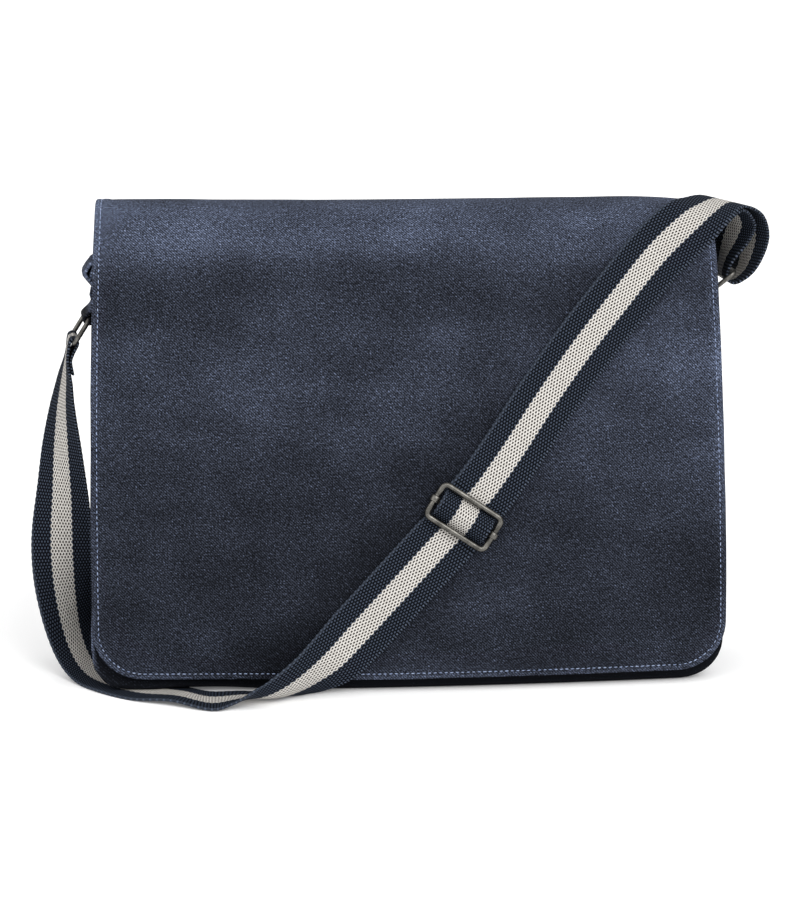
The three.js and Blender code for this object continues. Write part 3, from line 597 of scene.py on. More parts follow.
def aged_nickel():
    """Nickel-plated steel wire, bent cold and dulled by handling.

    It is a warm grey metal with soft highlights, cloudy tarnish and fine pits.
    """
    material, tree, shader = new_material("aged_nickel_wire")
    place = put(tree, "ShaderNodeTexCoord").outputs["Object"]
    tarnish = put(tree, "ShaderNodeTexNoise", {
        "Vector": place, "Scale": 1 / 0.005, "Detail": 4, "Roughness": 0.6,
    })
    pits = put(tree, "ShaderNodeTexNoise", {"Vector": place, "Scale": 1 / 0.0008, "Detail": 2})
    ramp = put(tree, "ShaderNodeValToRGB", {"Fac": tarnish.outputs["Fac"]})
    set_ramp(ramp, (0.3, "#43423f"), (0.7, "#787671"))
    tree.links.new(ramp.outputs["Color"], shader.inputs["Base Color"])
    rough = put(tree, "ShaderNodeMapRange", {"Value": tarnish.outputs["Fac"], "To Min": 0.5, "To Max": 0.28})
    tree.links.new(rough.outputs["Result"], shader.inputs["Roughness"])
    bump = put(tree, "ShaderNodeBump", {"Height": pits.outputs["Fac"], "Strength": 0.25, "Distance": 0.0002})
    tree.links.new(bump.outputs["Normal"], shader.inputs["Normal"])
    shader.inputs["Metallic"].default_value = 1
    return material


def sewing_thread():
    """Twisted polyester-cotton thread, pale blue, matt, with darker and lighter stretches."""
    material, tree, shader = new_material("pale_blue_thread")
    place = put(tree, "ShaderNodeTexCoord").outputs["Object"]
    twist = put(tree, "ShaderNodeTexNoise", {"Vector": place, "Scale": 1 / 0.003, "Detail": 3})
    ramp = put(tree, "ShaderNodeValToRGB", {"Fac": twist.outputs["Fac"]})
    set_ramp(ramp, (0.3, "#647497"), (0.7, "#99a6c2"))
    tree.links.new(ramp.outputs["Color"], shader.inputs["Base Color"])
    bump = put(tree, "ShaderNodeBump", {"Height": twist.outputs["Fac"], "Strength": 0.3, "Distance": 0.0002})
    tree.links.new(bump.outputs["Normal"], shader.inputs["Normal"])
    shader.inputs["Roughness"].default_value = 0.75
    return material


def backdrop_paper():
    """Matt white studio paper with a faint grain, lit through from behind so that it looks white."""
    material, tree, shader = new_material("white_studio_paper")
    place = put(tree, "ShaderNodeTexCoord").outputs["Object"]
    grain = put(tree, "ShaderNodeTexNoise", {"Vector": place, "Scale": 1 / 0.02, "Detail": 2})
    ramp = put(tree, "ShaderNodeValToRGB", {"Fac": grain.outputs["Fac"]})
    set_ramp(ramp, (0, "#f7f7f7"), (1, "#fbfbfb"))
    tree.links.new(ramp.outputs["Color"], shader.inputs["Base Color"])
    shader.inputs["Roughness"].default_value = 0.9
    shader.inputs["Emission Color"].default_value = (1, 1, 1, 1)
    shader.inputs["Emission Strength"].default_value = 0.1
    return material


# Geometry node trees


def new_tree(name, **sockets):
    """A geometry tree with named inputs, and its input and output nodes."""
    tree = bpy.data.node_groups.new(name, "GeometryNodeTree")
    tree.interface.new_socket("Geometry", in_out="INPUT", socket_type="NodeSocketGeometry")
    for socket, kind in sockets.items():
        tree.interface.new_socket(socket, in_out="INPUT", socket_type="NodeSocket" + kind)
    tree.interface.new_socket("Geometry", in_out="OUTPUT", socket_type="NodeSocketGeometry")
    return tree, put(tree, "NodeGroupInput").outputs


def stitch_tree():
    """Stitches at an even pitch along a path, lying on the cloth next to it."""
    tree, given = new_tree(
        "stitches", Cloth="Object", Pitch="Float", Length="Float", Thread="Float", Seed="Int",
        Finish="Material",
    )
    path = put(tree, "GeometryNodeResampleCurve", {"Curve": given["Geometry"], "Length": given["Pitch"]},
               mode="LENGTH")
    dots = put(tree, "GeometryNodeCurveToPoints", {"Curve": path}, mode="EVALUATED")
    cloth = put(tree, "GeometryNodeObjectInfo", {"Object": given["Cloth"]})
    out = put(tree, "GeometryNodeSampleNearestSurface", {
        "Mesh": cloth.outputs["Geometry"], "Value": put(tree, "GeometryNodeInputNormal"),
    }, data_type="FLOAT_VECTOR")
    lay = put(tree, "FunctionNodeAxesToRotation", {
        "Primary Axis": out, "Secondary Axis": dots.outputs["Tangent"],
    }, primary_axis="Z", secondary_axis="X")
    slant = put(tree, "FunctionNodeRandomValue", {
        0: (0, 0, -0.12), 1: (0, 0, 0.16), "Seed": given["Seed"],
    }, data_type="FLOAT_VECTOR")
    turned = put(tree, "FunctionNodeRotateRotation", {"Rotation": lay, "Rotate By": slant},
                 rotation_space="LOCAL")
    size = put(tree, "ShaderNodeCombineXYZ", {
        "X": given["Length"], "Y": given["Thread"], "Z": given["Thread"],
    })
    vary = put(tree, "FunctionNodeRandomValue", {
        0: (0.85, 0.85, 0.8), 1: (1.12, 1.1, 1.1), "Seed": given["Seed"],
    }, data_type="FLOAT_VECTOR")
    scale = put(tree, "ShaderNodeVectorMath", {0: size, 1: vary}, operation="MULTIPLY")
    thread = put(tree, "GeometryNodeMeshUVSphere", {"Segments": 6, "Rings": 5, "Radius": 0.5})
    soft = put(tree, "GeometryNodeSetShadeSmooth", {"Geometry": thread})
    row = put(tree, "GeometryNodeInstanceOnPoints", {
        "Points": dots, "Instance": soft, "Rotation": turned, "Scale": scale,
    })
    whole = put(tree, "GeometryNodeRealizeInstances", {"Geometry": row})
    done = put(tree, "GeometryNodeSetMaterial", {"Geometry": whole, "Material": given["Finish"]})
    put(tree, "NodeGroupOutput", {"Geometry": done})
    return tree


def wire_tree():
    """Round wire bent along a path, with its two cut ends closed."""
    tree, given = new_tree("bent_wire", Diameter="Float", Sides="Int", Finish="Material")
    radius = put(tree, "ShaderNodeMath", {0: given["Diameter"], 1: 0.5}, operation="MULTIPLY")
    section = put(tree, "GeometryNodeCurvePrimitiveCircle", {"Resolution": given["Sides"], "Radius": radius})
    wire = put(tree, "GeometryNodeCurveToMesh", {
        "Curve": given["Geometry"], "Profile Curve": section, "Fill Caps": True,
    })
    soft = put(tree, "GeometryNodeSetShadeSmooth", {"Geometry": wire})
    whole = put(tree, "GeometryNodeRealizeInstances", {"Geometry": soft})
    done = put(tree, "GeometryNodeSetMaterial", {"Geometry": whole, "Material": given["Finish"]})
    put(tree, "NodeGroupOutput", {"Geometry": done})
    return tree


def grow(name, points, tree, **inputs):
    """Runs a geometry tree on a path and keeps the result as a plain mesh."""
    path = poly_curve(name + "_path", points)
    modifier = path.modifiers.new("grow", "NODES")
    modifier.node_group = tree
    for socket in tree.interface.items_tree:
        if socket.in_out == "INPUT" and socket.name in inputs:
            modifier[socket.identifier] = inputs[socket.name]
    grown = path.evaluated_get(bpy.context.evaluated_depsgraph_get())
    mesh = bpy.data.meshes.new_from_object(grown)
    mesh.name = name
    curve = path.data
    bpy.data.objects.remove(path)
    bpy.data.curves.remove(curve)
    return add_object(name, mesh)


# Body


def lifted(points):
    """Lifts the body's front left corner over the strap that it rests on."""
    across = ease(-points[..., 0], 70, 150)
    depth = ease(-points[..., 1], -30, 8)
    fade = np.maximum(1 - points[..., 2] / (2 * CORNER_RADIUS), 0)
    points[..., 2] += CORNER_LIFT * across * depth * fade
    return points


def slumped(points):
    """Lets the soft front left corner sag: squarer than the others, lower and further out."""
    x, y, z = np.moveaxis(points, -1, 0)
    front = ease(-y, 14, 40)
    beside = np.clip(CORNER_RADIUS - HALF_WIDTH - x, 0, CORNER_RADIUS)
    below = np.clip(CORNER_RADIUS - z, 0, CORNER_RADIUS)
    low = 1 - ease(z, 4, 16)
    points[..., 0] -= CORNER_SQUARE * front * beside * (below / CORNER_RADIUS) ** 2
    points[..., 2] -= CORNER_SQUARE * front * below * (beside / CORNER_RADIUS) ** 2
    points[..., 2] -= CORNER_SAG * ease(-y, 36, 48) * ease(-x, 145, 165) * low
    points[..., 1] -= CORNER_FORWARD * ease(-y, 36, 48) * ease(-x, 110, 150) * low
    return points


def taper(height):
    """How far the body's sides lie inside its half width."""
    return SIDE_TAPER * ease(height, 150, 250)


def seam_ear(height):
    """How far the front left seam stands out above the lower corner."""
    return SEAM_EAR * ease(height, 5, 18) * (1 - ease(height, 36, 70))


def panel_depth(sections, x, height):
    section = read(sections, height)
    return section["depth"] + section["bulge"] * (x / HALF_WIDTH) ** 2


def panel(name, sections, top, facing, seed):
    """A body panel with a raised seam round its sides and bottom."""
    from_bottom = distances_up(top - PANEL_FLOOR_GAP, CORNER_RADIUS)[:, None]
    half = PANEL_HALF_WIDTH - taper(from_bottom + PANEL_FLOOR_GAP)
    x = shares_across(PANEL_HALF_WIDTH) * rounded_half(half, CORNER_RADIUS, from_bottom)
    height = np.broadcast_to(from_bottom + PANEL_FLOOR_GAP, x.shape)
    grid = slumped(lifted(np.stack([x, panel_depth(sections, x, height), height], axis=-1)))
    inset = edge_distance(x, half, from_bottom, CORNER_RADIUS)
    if facing < 0:
        grid[..., 0] -= seam_ear(height) * ease(-x, 160, 199)
    seam = 0.55 * np.exp(-((inset - 1.8) / 1.5) ** 2) - 0.3 * np.exp(-((inset - 5) / 1.2) ** 2)
    grid[..., 1] += facing * (seam + 0.3 * wander(x, height, 70, seed) * ease(inset, 4, 40) - 0.1)
    flat = np.stack([x, top - height], axis=-1)
    fade = 0.3 + 0.14 * (1 - ease(inset, 0.8, 2.6)) * (from_bottom > CORNER_RADIUS)
    # The front panel is painted darker than the back: a painted shade under the flap, least at the left end.
    # Its left seam edge is lighter, where the cloth is rubbed pale.
    if facing < 0:
        rim = (1 - ease(inset, 0.8, 3.2)) * ease(-x, 170, 199) * ease(height, 6, 24)
        fade = 0.15 * ease(-x, 110, 175) - 0.24 + 0.6 * rim
    return cloth_sheet(name, grid, flat, fade, CANVAS, 0, BAG_MIDDLE)


def gusset_line():
    """The gusset's line seen from the front: across, height, and the way out in both."""
    heights = np.concatenate([np.linspace(MOUTH_HEIGHT, 228, 15), np.linspace(228, CORNER_RADIUS, 40)[1:]])
    side = [(taper(height) - HALF_WIDTH, height, -1, 0) for height in heights]
    middle = HALF_WIDTH - CORNER_RADIUS
    corner = []
    for turn in np.linspace(0, math.pi / 2, 16)[1:]:
        out = (-math.cos(turn), -math.sin(turn))
        corner.append((-middle + CORNER_RADIUS * out[0], CORNER_RADIUS * (1 + out[1])) + out)
    base = [(x, 0, 0, -1) for x in np.linspace(-middle, 0, 32)[1:]]
    left = side + corner + base
    right = [(-x, z, -out_x, out_z) for x, z, out_x, out_z in left[-2::-1]]
    return np.array(left + right, float)


def gusset_points(line, share):
    """Points on the gusset's outer face. share runs from 0 at the front seam to 1 at the back."""
    x, z, out_x, out_z = line.T
    seam = z - CROWN * out_z
    front = panel_depth(FRONT, x, seam) + PANEL_ROOM
    back = panel_depth(BACK, x, seam) - PANEL_ROOM
    from_middle = abs(2 * share - 1)
    swell = read(GUSSET_SWELL, z)
    swell = np.where(x < 0, swell["left"], swell["right"]) * np.abs(out_x)
    out = swell * (1 - from_middle ** 4) - CROWN * ease(from_middle, FLAT_SHARE, 1)
    points = np.stack([x + out_x * out, front + (back - front) * share, z + out_z * out], axis=-1)
    return slumped(lifted(points))


def gusset(name):
    """The band that makes the sides and the base, with its left mouth hem rolled in."""
    line = gusset_line()
    seam_shares = np.linspace(0, 0.12, 7)
    shares = np.concatenate([seam_shares, np.linspace(0.12, 0.88, 20)[1:-1], seam_shares + 0.88])
    grid = np.stack([gusset_points(line, share) for share in shares])
    opening = ease(grid[..., 2], 247, 260) * (grid[..., 0] < 0) * (1 - ease(shares, 0.6, 1))[:, None]
    grid[..., 0] += opening * (grid[len(shares) // 2, :, 0] - grid[..., 0]) * 0.85
    # Towards the mouth, the seam edges draw back a little from the panels.
    high = ease(grid[..., 2], 180, 230)
    mouth = ease(grid[..., 2], 250, 262)
    grid[..., 1] -= (0.25 * high + 0.65 * mouth) * ease(shares, 0.85, 1)[:, None]
    grid[..., 1] += 0.3 * high * (1 - ease(shares, 0, 0.15))[:, None]
    inward, height = np.array(MOUTH_ROLL).T
    roll = np.repeat(grid[:, :1], len(MOUTH_ROLL), axis=1)
    roll[..., 0] += inward
    roll[..., 2] = height
    grid = np.concatenate([roll[:, ::-1], grid], axis=1)
    along = lengths_along(grid[len(shares) // 2])
    depth = np.array([lengths_along(column) for column in np.swapaxes(grid, 0, 1)]).T
    across = depth - depth[-1] / 2
    flat = np.stack(np.broadcast_arrays(across, along), axis=-1)
    crease = np.exp(-(across / 7) ** 2) * (grid[..., 2] > 45) * ease(grid[..., 2], 45, 120)
    crease = crease * (1 - ease(grid[..., 2], 180, 215))
    soft = 0.5 * wander(across, along, 45, 3.3) * ease(grid[..., 2], 20, 60)
    grid[..., 0] -= np.sign(grid[..., 0]) * (1.6 * crease + soft) * (grid[..., 2] < 225)
    ear = seam_ear(grid[..., 2]) * (1 - ease(shares, 0.08, 0.4))[:, None]
    left = ease(-grid[..., 0], 160, 190)
    grid[..., 0] -= ear * left
    seam = np.minimum(depth, depth[-1] - depth)
    fade = 0.26 + 0.14 * (1 - ease(seam, 0.8, 2.6)) + 0.12 * ear * left * (1 - ease(depth, 3, 9))
    # Painted light: the top of the left side, at the rolled mouth hem, is made lighter, though it lies in
    # shade.
    fade = fade + 0.2 * ease(grid[..., 2], 246, 256) * (grid[..., 0] < 0)
    return cloth_sheet(name, grid, flat, fade, CANVAS, 0, BAG_MIDDLE)


def flap_surface(along, x):
    """Points on the flap's outer face, by cloth length from its back seam and place across."""
    section = read(FLAP, along)
    from_middle = x / HALF_WIDTH
    droop = np.where(x < 0, FLAP_LEFT_DROOP, FLAP_RIGHT_DROOP) * from_middle ** FLAP_DROOP_POWER
    depth = section["depth"] + section["bulge"] * from_middle ** 2
    rise = FLAP_RISE * ease(-x, 10, 120) * ease(along, 250, FLAP_LENGTH)
    height = section["height"] - section["sag"] * (1 - from_middle ** 2 + droop) + rise
    return np.stack([x, depth, height], axis=-1)


def flap_half(along):
    return rounded_half(read(FLAP, along)["half"], FLAP_CORNER_RADIUS, FLAP_LENGTH - along)


def flap(name):
    """The flap, with a doubled hem that is drawn in along its stitches.

    Its colour is lightest along its hem, which is rubbed pale, and along its fold, which is rubbed
    pale and also lit by painted light from above. Lower down it is darker, a painted shade, and
    beside the strap lies a painted shadow of the strap.
    """
    along = FLAP_LENGTH - distances_up(FLAP_LENGTH, FLAP_CORNER_RADIUS)[:, None]
    x = shares_across(HALF_WIDTH) * flap_half(along)
    along = np.broadcast_to(along, x.shape)
    inset = edge_distance(x, read(FLAP, along)["half"], FLAP_LENGTH - along, FLAP_CORNER_RADIUS)
    grid = flap_surface(along, x)
    hem = 0.4 * (1 - ease(inset, HEM_WIDTH - 1, HEM_WIDTH + 1.2)) - 0.3 * (1 - ease(inset, 0, 1.3))
    groove = -0.35 * np.exp(-((inset - STITCH_INSET) / 0.8) ** 2)
    pucker = 0.22 * wander(x, along, 9, 1.7) * (1 - ease(inset, 5, 14))
    soft = 0.7 * wander(x, along, 85, 4.1) + 0.3 * wander(x, along, 32, 7.9)
    soft = (np.minimum(soft, 0.15) - 0.15 * ease(along, 90, 130)) * ease(inset, 2, 30)
    normal = unit(np.cross(np.gradient(grid, axis=1), np.gradient(grid, axis=0)))
    normal = normal * np.sign(np.sum(normal * (grid - BAG_MIDDLE), axis=-1, keepdims=True))
    grid = grid + normal * (hem + groove + pucker + soft)[..., None]
    grid[..., 0] += 0.35 * wander(x, along, 38, 2.2) * (1 - ease(inset, 0, 25))
    flat = np.stack([x, along], axis=-1)
    # Lighter along the top fold: partly rubbed cloth, partly painted light from above on the fold. A darker
    # band lies just below it.
    fold = 0.165 * (1 - ease(along, 108, 136)) - 0.05 * np.exp(-((along - 148) / 15) ** 2)
    # A lighter band across the middle, and a lighter patch towards the right side.
    lightness = 0.03 * np.exp(-((along - 190) / 24) ** 2) * (1 + 1.6 * ease(x, 110, 150))
    lightness = lightness + 0.075 * ease(x, 70, 140) * ease(along, 105, 150) * (1 - ease(along, 230, 320))
    # Painted shade: darker towards the bottom, where the light from above falls less.
    low = -0.095 * ease(along, 205, 310)
    edge = (0.07 + 0.1 * ease(along, 330, 375)) * (1 - ease(inset, 1.6, 3.8))
    edge = edge + 0.03 * (1 - ease(inset, 6, 10))
    # Painted shadow of the strap: a darker band beside the strap's left edge, strongest low down.
    route = [(row[0], row[2]) for row in FLOOR_ROUTE[-3:]] + [*LOWER_DIAGONAL, SLIDER_AT, *UPPER_DIAGONAL]
    route_x, route_height = np.array(route).T
    beside = np.interp(grid[..., 2], route_height, route_x) - x
    painted_strap_shadow = ease(beside, 0, 20) * (1 - ease(beside, 25, 85)) * (1 - 0.5 * ease(grid[..., 2], 100, 180))
    fade = 0.285 + fold + lightness + low + edge - 0.135 * painted_strap_shadow
    return cloth_sheet(name, grid, flat, fade, CANVAS, 0, BAG_MIDDLE)


def flap_hem_path():
    """The stitch line along the flap's hem, from its back over the left side to the right."""
    side = np.arange(10, FLAP_LENGTH - FLAP_CORNER_RADIUS, 1.0)
    radius = FLAP_CORNER_RADIUS - STITCH_INSET
    turn = np.linspace(0, math.pi / 2, 60)
    corner_along = FLAP_LENGTH - FLAP_CORNER_RADIUS + radius * np.sin(turn)
    corner_x = read(FLAP, corner_along)["half"] - FLAP_CORNER_RADIUS + radius * np.cos(turn)
    bottom_x = np.arange(corner_x[-1], 0, -1.0)
    along = np.concatenate([side, corner_along, np.full(len(bottom_x), FLAP_LENGTH - STITCH_INSET)])
    x = np.concatenate([read(FLAP, side)["half"] - STITCH_INSET, corner_x, bottom_x])
    return flap_surface(np.concatenate([along, along[::-1]]), np.concatenate([-x, x[::-1]]))


# Strap and fittings


def flap_along(height):
    """The cloth length at which the front of the flap reaches a height, by halving."""
    low, high = FLAP_FRONT_FROM, FLAP_LENGTH
    for _ in range(24):
        middle = (low + high) / 2
        if read(FLAP, middle)["height"] > height:
            low = middle
        else:
            high = middle
    return low


def on_flap(across, height, lift):
    """A place in front of the flap, and the way out from the cloth there."""
    along = flap_along(height)
    section = read(FLAP, along)
    below = read(FLAP, along + 1)
    depth = section["depth"] + section["bulge"] * (across / HALF_WIDTH) ** 2
    down = (0, below["depth"] - section["depth"], below["height"] - section["height"])
    aside = (1, 2 * section["bulge"] * across / HALF_WIDTH ** 2, 0)
    out = unit(np.cross(down, aside))
    return np.array((across, depth, height)) + out * lift, out


def diagonal_rows():
    """Strap direction and edge at each place of the diagonal, by place."""
    places = LOWER_DIAGONAL + (SLIDER_AT,) + UPPER_DIAGONAL
    rows = {}
    for i, place in enumerate(places):
        ahead = on_flap(*places[min(i + 1, len(places) - 1)], 0)[0]
        behind = on_flap(*places[max(i - 1, 0)], 0)[0]
        along = unit(ahead - behind)
        rows[place] = (along, np.cross(along, on_flap(*place, 0)[1]))
    return rows


def turned_slider():
    """The adjuster's own way along and across the strap, a little askew on it."""
    along, edge = DIAGONAL[SLIDER_AT]
    up = along * math.cos(SLIDER_TURN) - edge * math.sin(SLIDER_TURN)
    return up, edge * math.cos(SLIDER_TURN) + along * math.sin(SLIDER_TURN)


DIAGONAL = diagonal_rows()


def strap_rows():
    """Centre, edge, width and cup of the strap at each row of its route."""
    bar_x, bar_z = RINGS["left"][2:]
    reach = WIRE / 2 + SEAT_GAP + STRAP_THICKNESS / 2
    outer_lift = LAYER_LIFT + LAYER_STEP
    under_lift = LAYER_LIFT + 2 * SEAT_GAP
    bar_top = SLIDER_LIFT + BAR_THICKNESS / 2 + TURN_REACH
    over = bar_top + LAYER_STEP
    slider_up, slider_across = turned_slider()

    def at_slider(distance, lift):
        centre = on_flap(*SLIDER_AT, lift)[0] + slider_up * distance
        return (*centre, *slider_across, STRAP_WIDTH * SQUEEZE, 0)

    def beside_slider(distance, lift):
        along, edge = DIAGONAL[SLIDER_AT]
        return (*(on_flap(*SLIDER_AT, lift)[0] + along * distance), *edge, STRAP_WIDTH, 0)

    def on_diagonal(place, lift):
        return (*on_flap(*place, lift)[0], *DIAGONAL[place][1], STRAP_WIDTH, 0)

    rows = [(bar_x + x, bar_z + z, edge_x) for x, z, edge_x in TAIL_ROUTE]
    for turn in np.linspace(0, math.pi, 5):
        rows.append((bar_x + reach * math.cos(turn), bar_z + reach * math.sin(turn), -RING_ACROSS["left"]))
    rows = [(x, RING_DEPTH, z, edge_x, -1, 0, STRAP_WIDTH * RING_SQUEEZE, 0) for x, z, edge_x in rows]
    rows += [(*row[:6], STRAP_WIDTH, row[6]) for row in HANGING_ROUTE + FLOOR_ROUTE]
    rows += [on_diagonal(place, under_lift) for place in LOWER_DIAGONAL]
    rows.append(beside_slider(-FLAT_FROM, under_lift))
    for distance, lift in ((-UNDER_WIRE, 2.2), (-4.4, over - 2.2), (0, over), (4.4, over - 2.2),
                           (UNDER_WIRE, outer_lift)):
        rows.append(at_slider(distance, lift))
    rows.append(beside_slider(FLAT_FROM, outer_lift))
    rows += [on_diagonal(place, outer_lift) for place in UPPER_DIAGONAL]
    rows += [(*row[:6], STRAP_WIDTH, row[6]) for row in CORNER_ROUTE]
    rows += [on_diagonal(place, LAYER_LIFT) for place in UPPER_DIAGONAL[::-1]]
    under_bar = SLIDER_LIFT - BAR_THICKNESS / 2 - TURN_REACH
    round_bar = BAR_WIDTH / 2 + TURN_REACH
    rows.append(beside_slider(FLAT_FROM, LAYER_LIFT))
    for distance, lift in ((UNDER_WIRE, LAYER_LIFT), (round_bar, SLIDER_LIFT), (0, bar_top),
                           (-round_bar, SLIDER_LIFT), (-0.6, under_bar)):
        rows.append(at_slider(distance, lift))
    return np.array(rows, float)


def even_route(rows, step):
    """Centres, edges, widths and cups at even steps along a smooth route."""
    steps = 24
    centre = smooth_line(rows[:, :3], steps, True)
    edge = smooth_line(rows[:, 3:6], steps, False)
    place = np.linspace(0, len(rows) - 1, len(centre))
    along = lengths_along(centre)
    even = np.linspace(0, along[-1], round(along[-1] / step) + 1)
    pick = [np.interp(even, along, values) for values in (*centre.T, *edge.T)]
    sizes = [np.interp(np.interp(even, along, place), np.arange(len(rows)), rows[:, i]) for i in (6, 7)]
    return np.stack(pick[:3], axis=1), unit(np.stack(pick[3:], axis=1)), sizes[0], sizes[1]


def strap(name):
    centre, edge, width, cup = even_route(strap_rows(), STRAP_STEP)
    along = lengths_along(centre)
    scallop = 0.15 * np.cos(along * 2 * math.pi * MM / BEAD_ALONG)
    return ribbon(name, centre, edge, width, cup, STRAP_THICKNESS, np.zeros(len(along)), scallop), along[-1]


def ring_tab(name, end):
    """A canvas loop sewn flat on the gusset and round the ring's inner bar."""
    bar_x, bar_z = RINGS[end][:2]
    heights = TAB_HEIGHTS[end]
    side = math.copysign(1, bar_x)
    line = np.array([(side * (HALF_WIDTH - taper(height)), height, side, 0) for height in heights], float)
    under = side * np.max([side * gusset_points(line, share)[:, 0] for share in TAB_SHARES], axis=0)
    inner = 2 * SEAT_GAP + CANVAS / 2
    outer = inner + CANVAS + SEAT_GAP
    reach = WIRE / 2 + 2 * SEAT_GAP + CANVAS / 2
    rows = [(x + side * inner, z, 0) for x, z in zip(under, heights)]
    for turn in np.linspace(math.pi, 2 * math.pi, 5):
        rows.append((bar_x + side * reach * math.cos(turn), bar_z + reach * math.sin(turn), RING_ACROSS[end]))
    # The left loop's outer layer draws in above the bar, so that no light shows between its layers.
    if end == "left":
        neck = (under[-1] + bar_x - side * reach) / 2 + side * (outer - inner / 2 + SEAT_GAP)
        rows.append((neck, (heights[-1] + bar_z) / 2, RING_ACROSS[end] / 2))
    rows += [(x + side * outer, z, 0) for x, z in zip(under[::-1], heights[::-1])]
    rows = np.array([(x, RING_DEPTH, z, edge_x, 1, 0, TAB_WIDTH, 0) for x, z, edge_x in rows])
    centre, edge, width, cup = even_route(rows, STRAP_STEP)
    # The loop is lighter above the ring's bar and darkest round the bar.
    fade = 0.45 * ease(centre[:, 2], bar_z + 2, bar_z + 5)
    loop = ribbon(name, centre, edge, width, cup, CANVAS, fade, np.zeros(len(centre)))
    return loop, lengths_along(centre)[-1]


def wire_path(length, height, wire, corner):
    """The centre line of a round-cornered wire frame in XY, open where its ends meet."""
    x = (length - wire) / 2
    y = (height - wire) / 2
    points = [(BUTT_GAP / 2, y)]
    for centre_x, centre_y, start in ((x, y, 0.5), (x, -y, 0), (-x, -y, -0.5), (-x, y, -1)):
        middle = (math.copysign(x - corner, centre_x), math.copysign(y - corner, centre_y))
        for turn in np.linspace(start, start - 0.5, 9) * math.pi:
            points.append((middle[0] + corner * math.cos(turn), middle[1] + corner * math.sin(turn)))
    points.append((-BUTT_GAP / 2, y))
    return np.column_stack([points, np.zeros(len(points))])


def placed(points, across, up, out, origin):
    """Points from a frame of their own, moved to their place."""
    return points @ np.array([across, up, out]) + origin


def ring_path(end):
    tab_x, tab_z, bar_x, bar_z = RINGS[end]
    across = unit(np.array((RING_ACROSS[end], 1.0, 0.0)))
    down = np.array((bar_x - tab_x, 0, bar_z - tab_z))
    down = unit(down - across * np.dot(down, across))
    middle = ((tab_x + bar_x) / 2, RING_DEPTH, (tab_z + bar_z) / 2)
    wire = wire_path(RING_LENGTH, RING_HEIGHT, WIRE, RING_CORNER)
    return placed(wire, across, -down, np.cross(across, -down), middle)


def slider_place(points):
    up, across = turned_slider()
    return placed(points, across, up, np.cross(across, up), on_flap(*SLIDER_AT, SLIDER_LIFT)[0])


def collar(x):
    """A short round-rimmed tube about the Y axis, turned slightly oval by crimping."""
    half = COLLAR_LENGTH / 2
    bore = COLLAR_BORE / 2
    wall = COLLAR_DIAMETER / 2
    round_off = 0.45
    profile = [
        (bore, -half), (wall - round_off, -half), (wall, -half + round_off), (wall + 0.12, 0),
        (wall, half - round_off), (wall - round_off, half), (bore, half),
    ]
    points = []
    for turn in np.linspace(0, 2 * math.pi, 28, endpoint=False):
        points += [(x + r * math.cos(turn), y, 0.94 * r * math.sin(turn)) for r, y in profile]
    return points, len(profile)


def slider_bar(name, finish):
    """A flat bar with its two ends rolled round the frame's short sides."""
    wire_x = (SLIDER_LENGTH - SLIDER_WIRE) / 2
    points = []
    faces = []
    for x in (-wire_x, wire_x):
        tube, ring = collar(x)
        start = len(points)
        points += tube
        turns = len(tube) // ring
        for i in range(turns):
            for k in range(ring):
                a, b = i * ring + k, i * ring + (k + 1) % ring
                c, d = ((i + 1) % turns) * ring + (k + 1) % ring, ((i + 1) % turns) * ring + k
                faces.append([start + a, start + b, start + c, start + d])
    half = wire_x - COLLAR_DIAMETER / 2 + 0.6
    section = []
    for turn in np.linspace(0, 2 * math.pi, 16, endpoint=False):
        c, s = (math.copysign(abs(v) ** 0.5, v) for v in (math.cos(turn), math.sin(turn)))
        section.append((c * BAR_WIDTH / 2, s * BAR_THICKNESS / 2))
    start = len(points)
    for x in (-half, half):
        points += [(x, y, z) for y, z in section]
    for k in range(16):
        faces.append([start + k, start + 16 + k, start + 16 + (k + 1) % 16, start + (k + 1) % 16])
    faces.append([start + k for k in range(16)])
    faces.append([start + 16 + k for k in range(15, -1, -1)])
    piece = make_mesh(name, slider_place(np.array(points)), faces)
    piece.data.materials.append(finish)
    return piece


# Stage


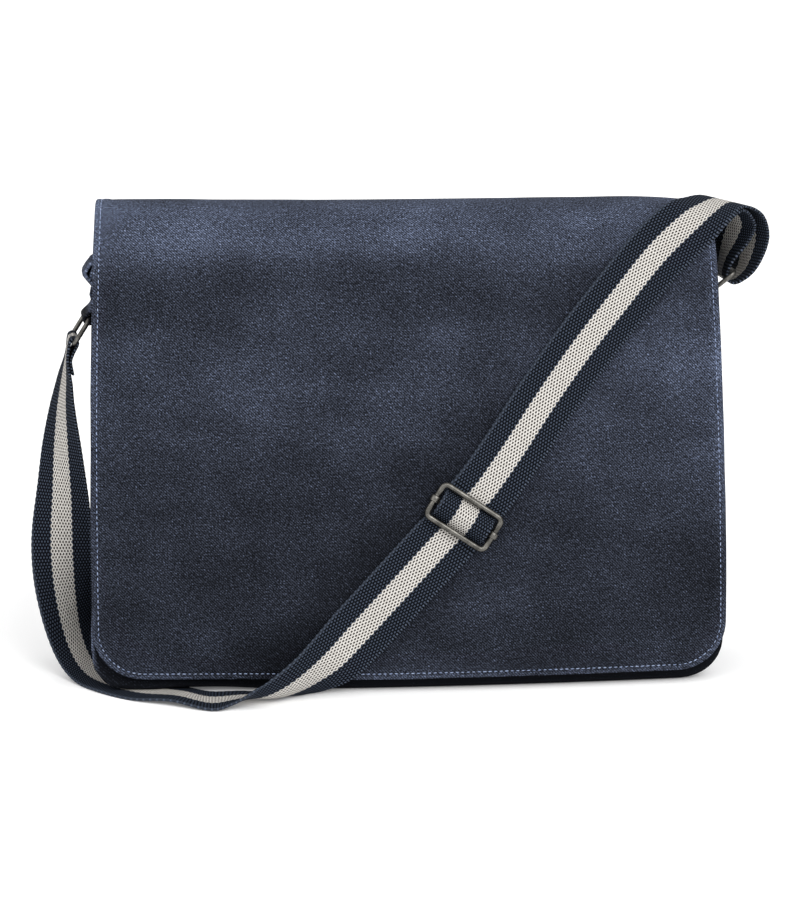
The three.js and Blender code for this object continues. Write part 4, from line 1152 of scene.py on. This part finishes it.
def studio():
    """Camera as in the photo, a soft key and fill from the front, a pale sky and a wide pale floor."""
    camera = bpy.data.cameras.new("camera")
    camera.lens = CAMERA_LENS
    camera.sensor_width = CAMERA_SENSOR
    camera.clip_end = 200
    eye = add_object("camera", camera)
    eye.location = CAMERA_PLACE
    look = Vector(CAMERA_AIM) - Vector(CAMERA_PLACE)
    eye.rotation_euler = look.to_track_quat("-Z", "Y").to_euler()
    bpy.context.scene.camera = eye
    for name, energy, angle, way in LIGHTS:
        light = bpy.data.lights.new(name, "SUN")
        light.energy = energy
        light.angle = math.radians(angle)
        lamp = add_object(name, light)
        lamp.rotation_euler = Vector(way).to_track_quat("-Z", "Y").to_euler()
    world = bpy.data.worlds.new("studio")
    world.use_nodes = True
    tree = world.node_tree
    tree.nodes.clear()
    way = put(tree, "ShaderNodeSeparateXYZ", {"Vector": put(tree, "ShaderNodeTexCoord").outputs["Generated"]})
    sky = put(tree, "ShaderNodeMapRange", {"Value": way.outputs["Z"], "To Min": 0.3, "To Max": 1.2})
    glow = put(tree, "ShaderNodeBackground", {"Color": (1, 1, 1, 1), "Strength": sky})
    put(tree, "ShaderNodeOutputWorld", {"Surface": glow})
    bpy.context.scene.world = world
    bpy.context.scene.view_settings.view_transform = "Standard"
    reach = 60000
    corners = [(-reach, -reach, 0), (reach, -reach, 0), (reach, reach, 0), (-reach, reach, 0)]
    floor = make_mesh("floor", np.array(corners, float), [[0, 1, 2, 3]])
    floor.data.materials.append(backdrop_paper())


# Making


def settle(piece, finish=None, node=None):
    """Gives a finished piece its material, its body and the solid that it stands for."""
    if finish:
        piece.data.materials.append(finish)
    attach(piece, "root")
    if node:
        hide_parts(node)
    return piece


studio()
canvas = washed_canvas()
webbing = striped_webbing()
nickel = aged_nickel()
thread = sewing_thread()
stitches = stitch_tree()
bent_wire = wire_tree()

front_cloth = settle(panel("front_cloth", FRONT, MOUTH_HEIGHT, -1, 5.5), canvas, "front_panel")
back_cloth = settle(panel("back_cloth", BACK, BACK_HEIGHT, 1, 8.5), canvas, "back_panel")
gusset_cloth = settle(gusset("gusset_cloth"), canvas, "gusset")
flap_cloth = settle(flap("flap_cloth"), canvas, "flap")
strap_mesh, strap_length = strap("strap_webbing")
strap_webbing = settle(strap_mesh, webbing, "strap")

sewing = {"Pitch": STITCH_PITCH * MM, "Length": STITCH_LENGTH * MM, "Thread": THREAD * MM, "Finish": thread}
hem_stitches = grow("hem_stitches", flap_hem_path(), stitches, Cloth=flap_cloth, Seed=3, **sewing)
settle(hem_stitches)
seam_x = np.arange(-188, 188.5, 1.0)
seam_path = flap_surface(np.full(len(seam_x), 6.0), seam_x)
seam_stitches = grow("seam_stitches", seam_path, stitches, Cloth=flap_cloth, Seed=5, **sewing)
settle(seam_stitches)

for side in RINGS:
    wire = {"Diameter": WIRE * MM, "Sides": 14, "Finish": nickel}
    settle(grow("ring_wire_" + side, ring_path(side), bent_wire, **wire), None, "ring_" + side)
    tab, tab_length = ring_tab("ring_loop_" + side, side)
    settle(tab, canvas, "ring_tab_" + side)

frame_path = slider_place(wire_path(SLIDER_LENGTH, SLIDER_HEIGHT, SLIDER_WIRE, SLIDER_CORNER))
slider_wire = {"Diameter": SLIDER_WIRE * MM, "Sides": 16, "Finish": nickel}
settle(grow("slider_wire", frame_path, bent_wire, **slider_wire), None, "slider_frame")
settle(slider_bar("slider_rolled_bar", nickel), None, "slider_bar")
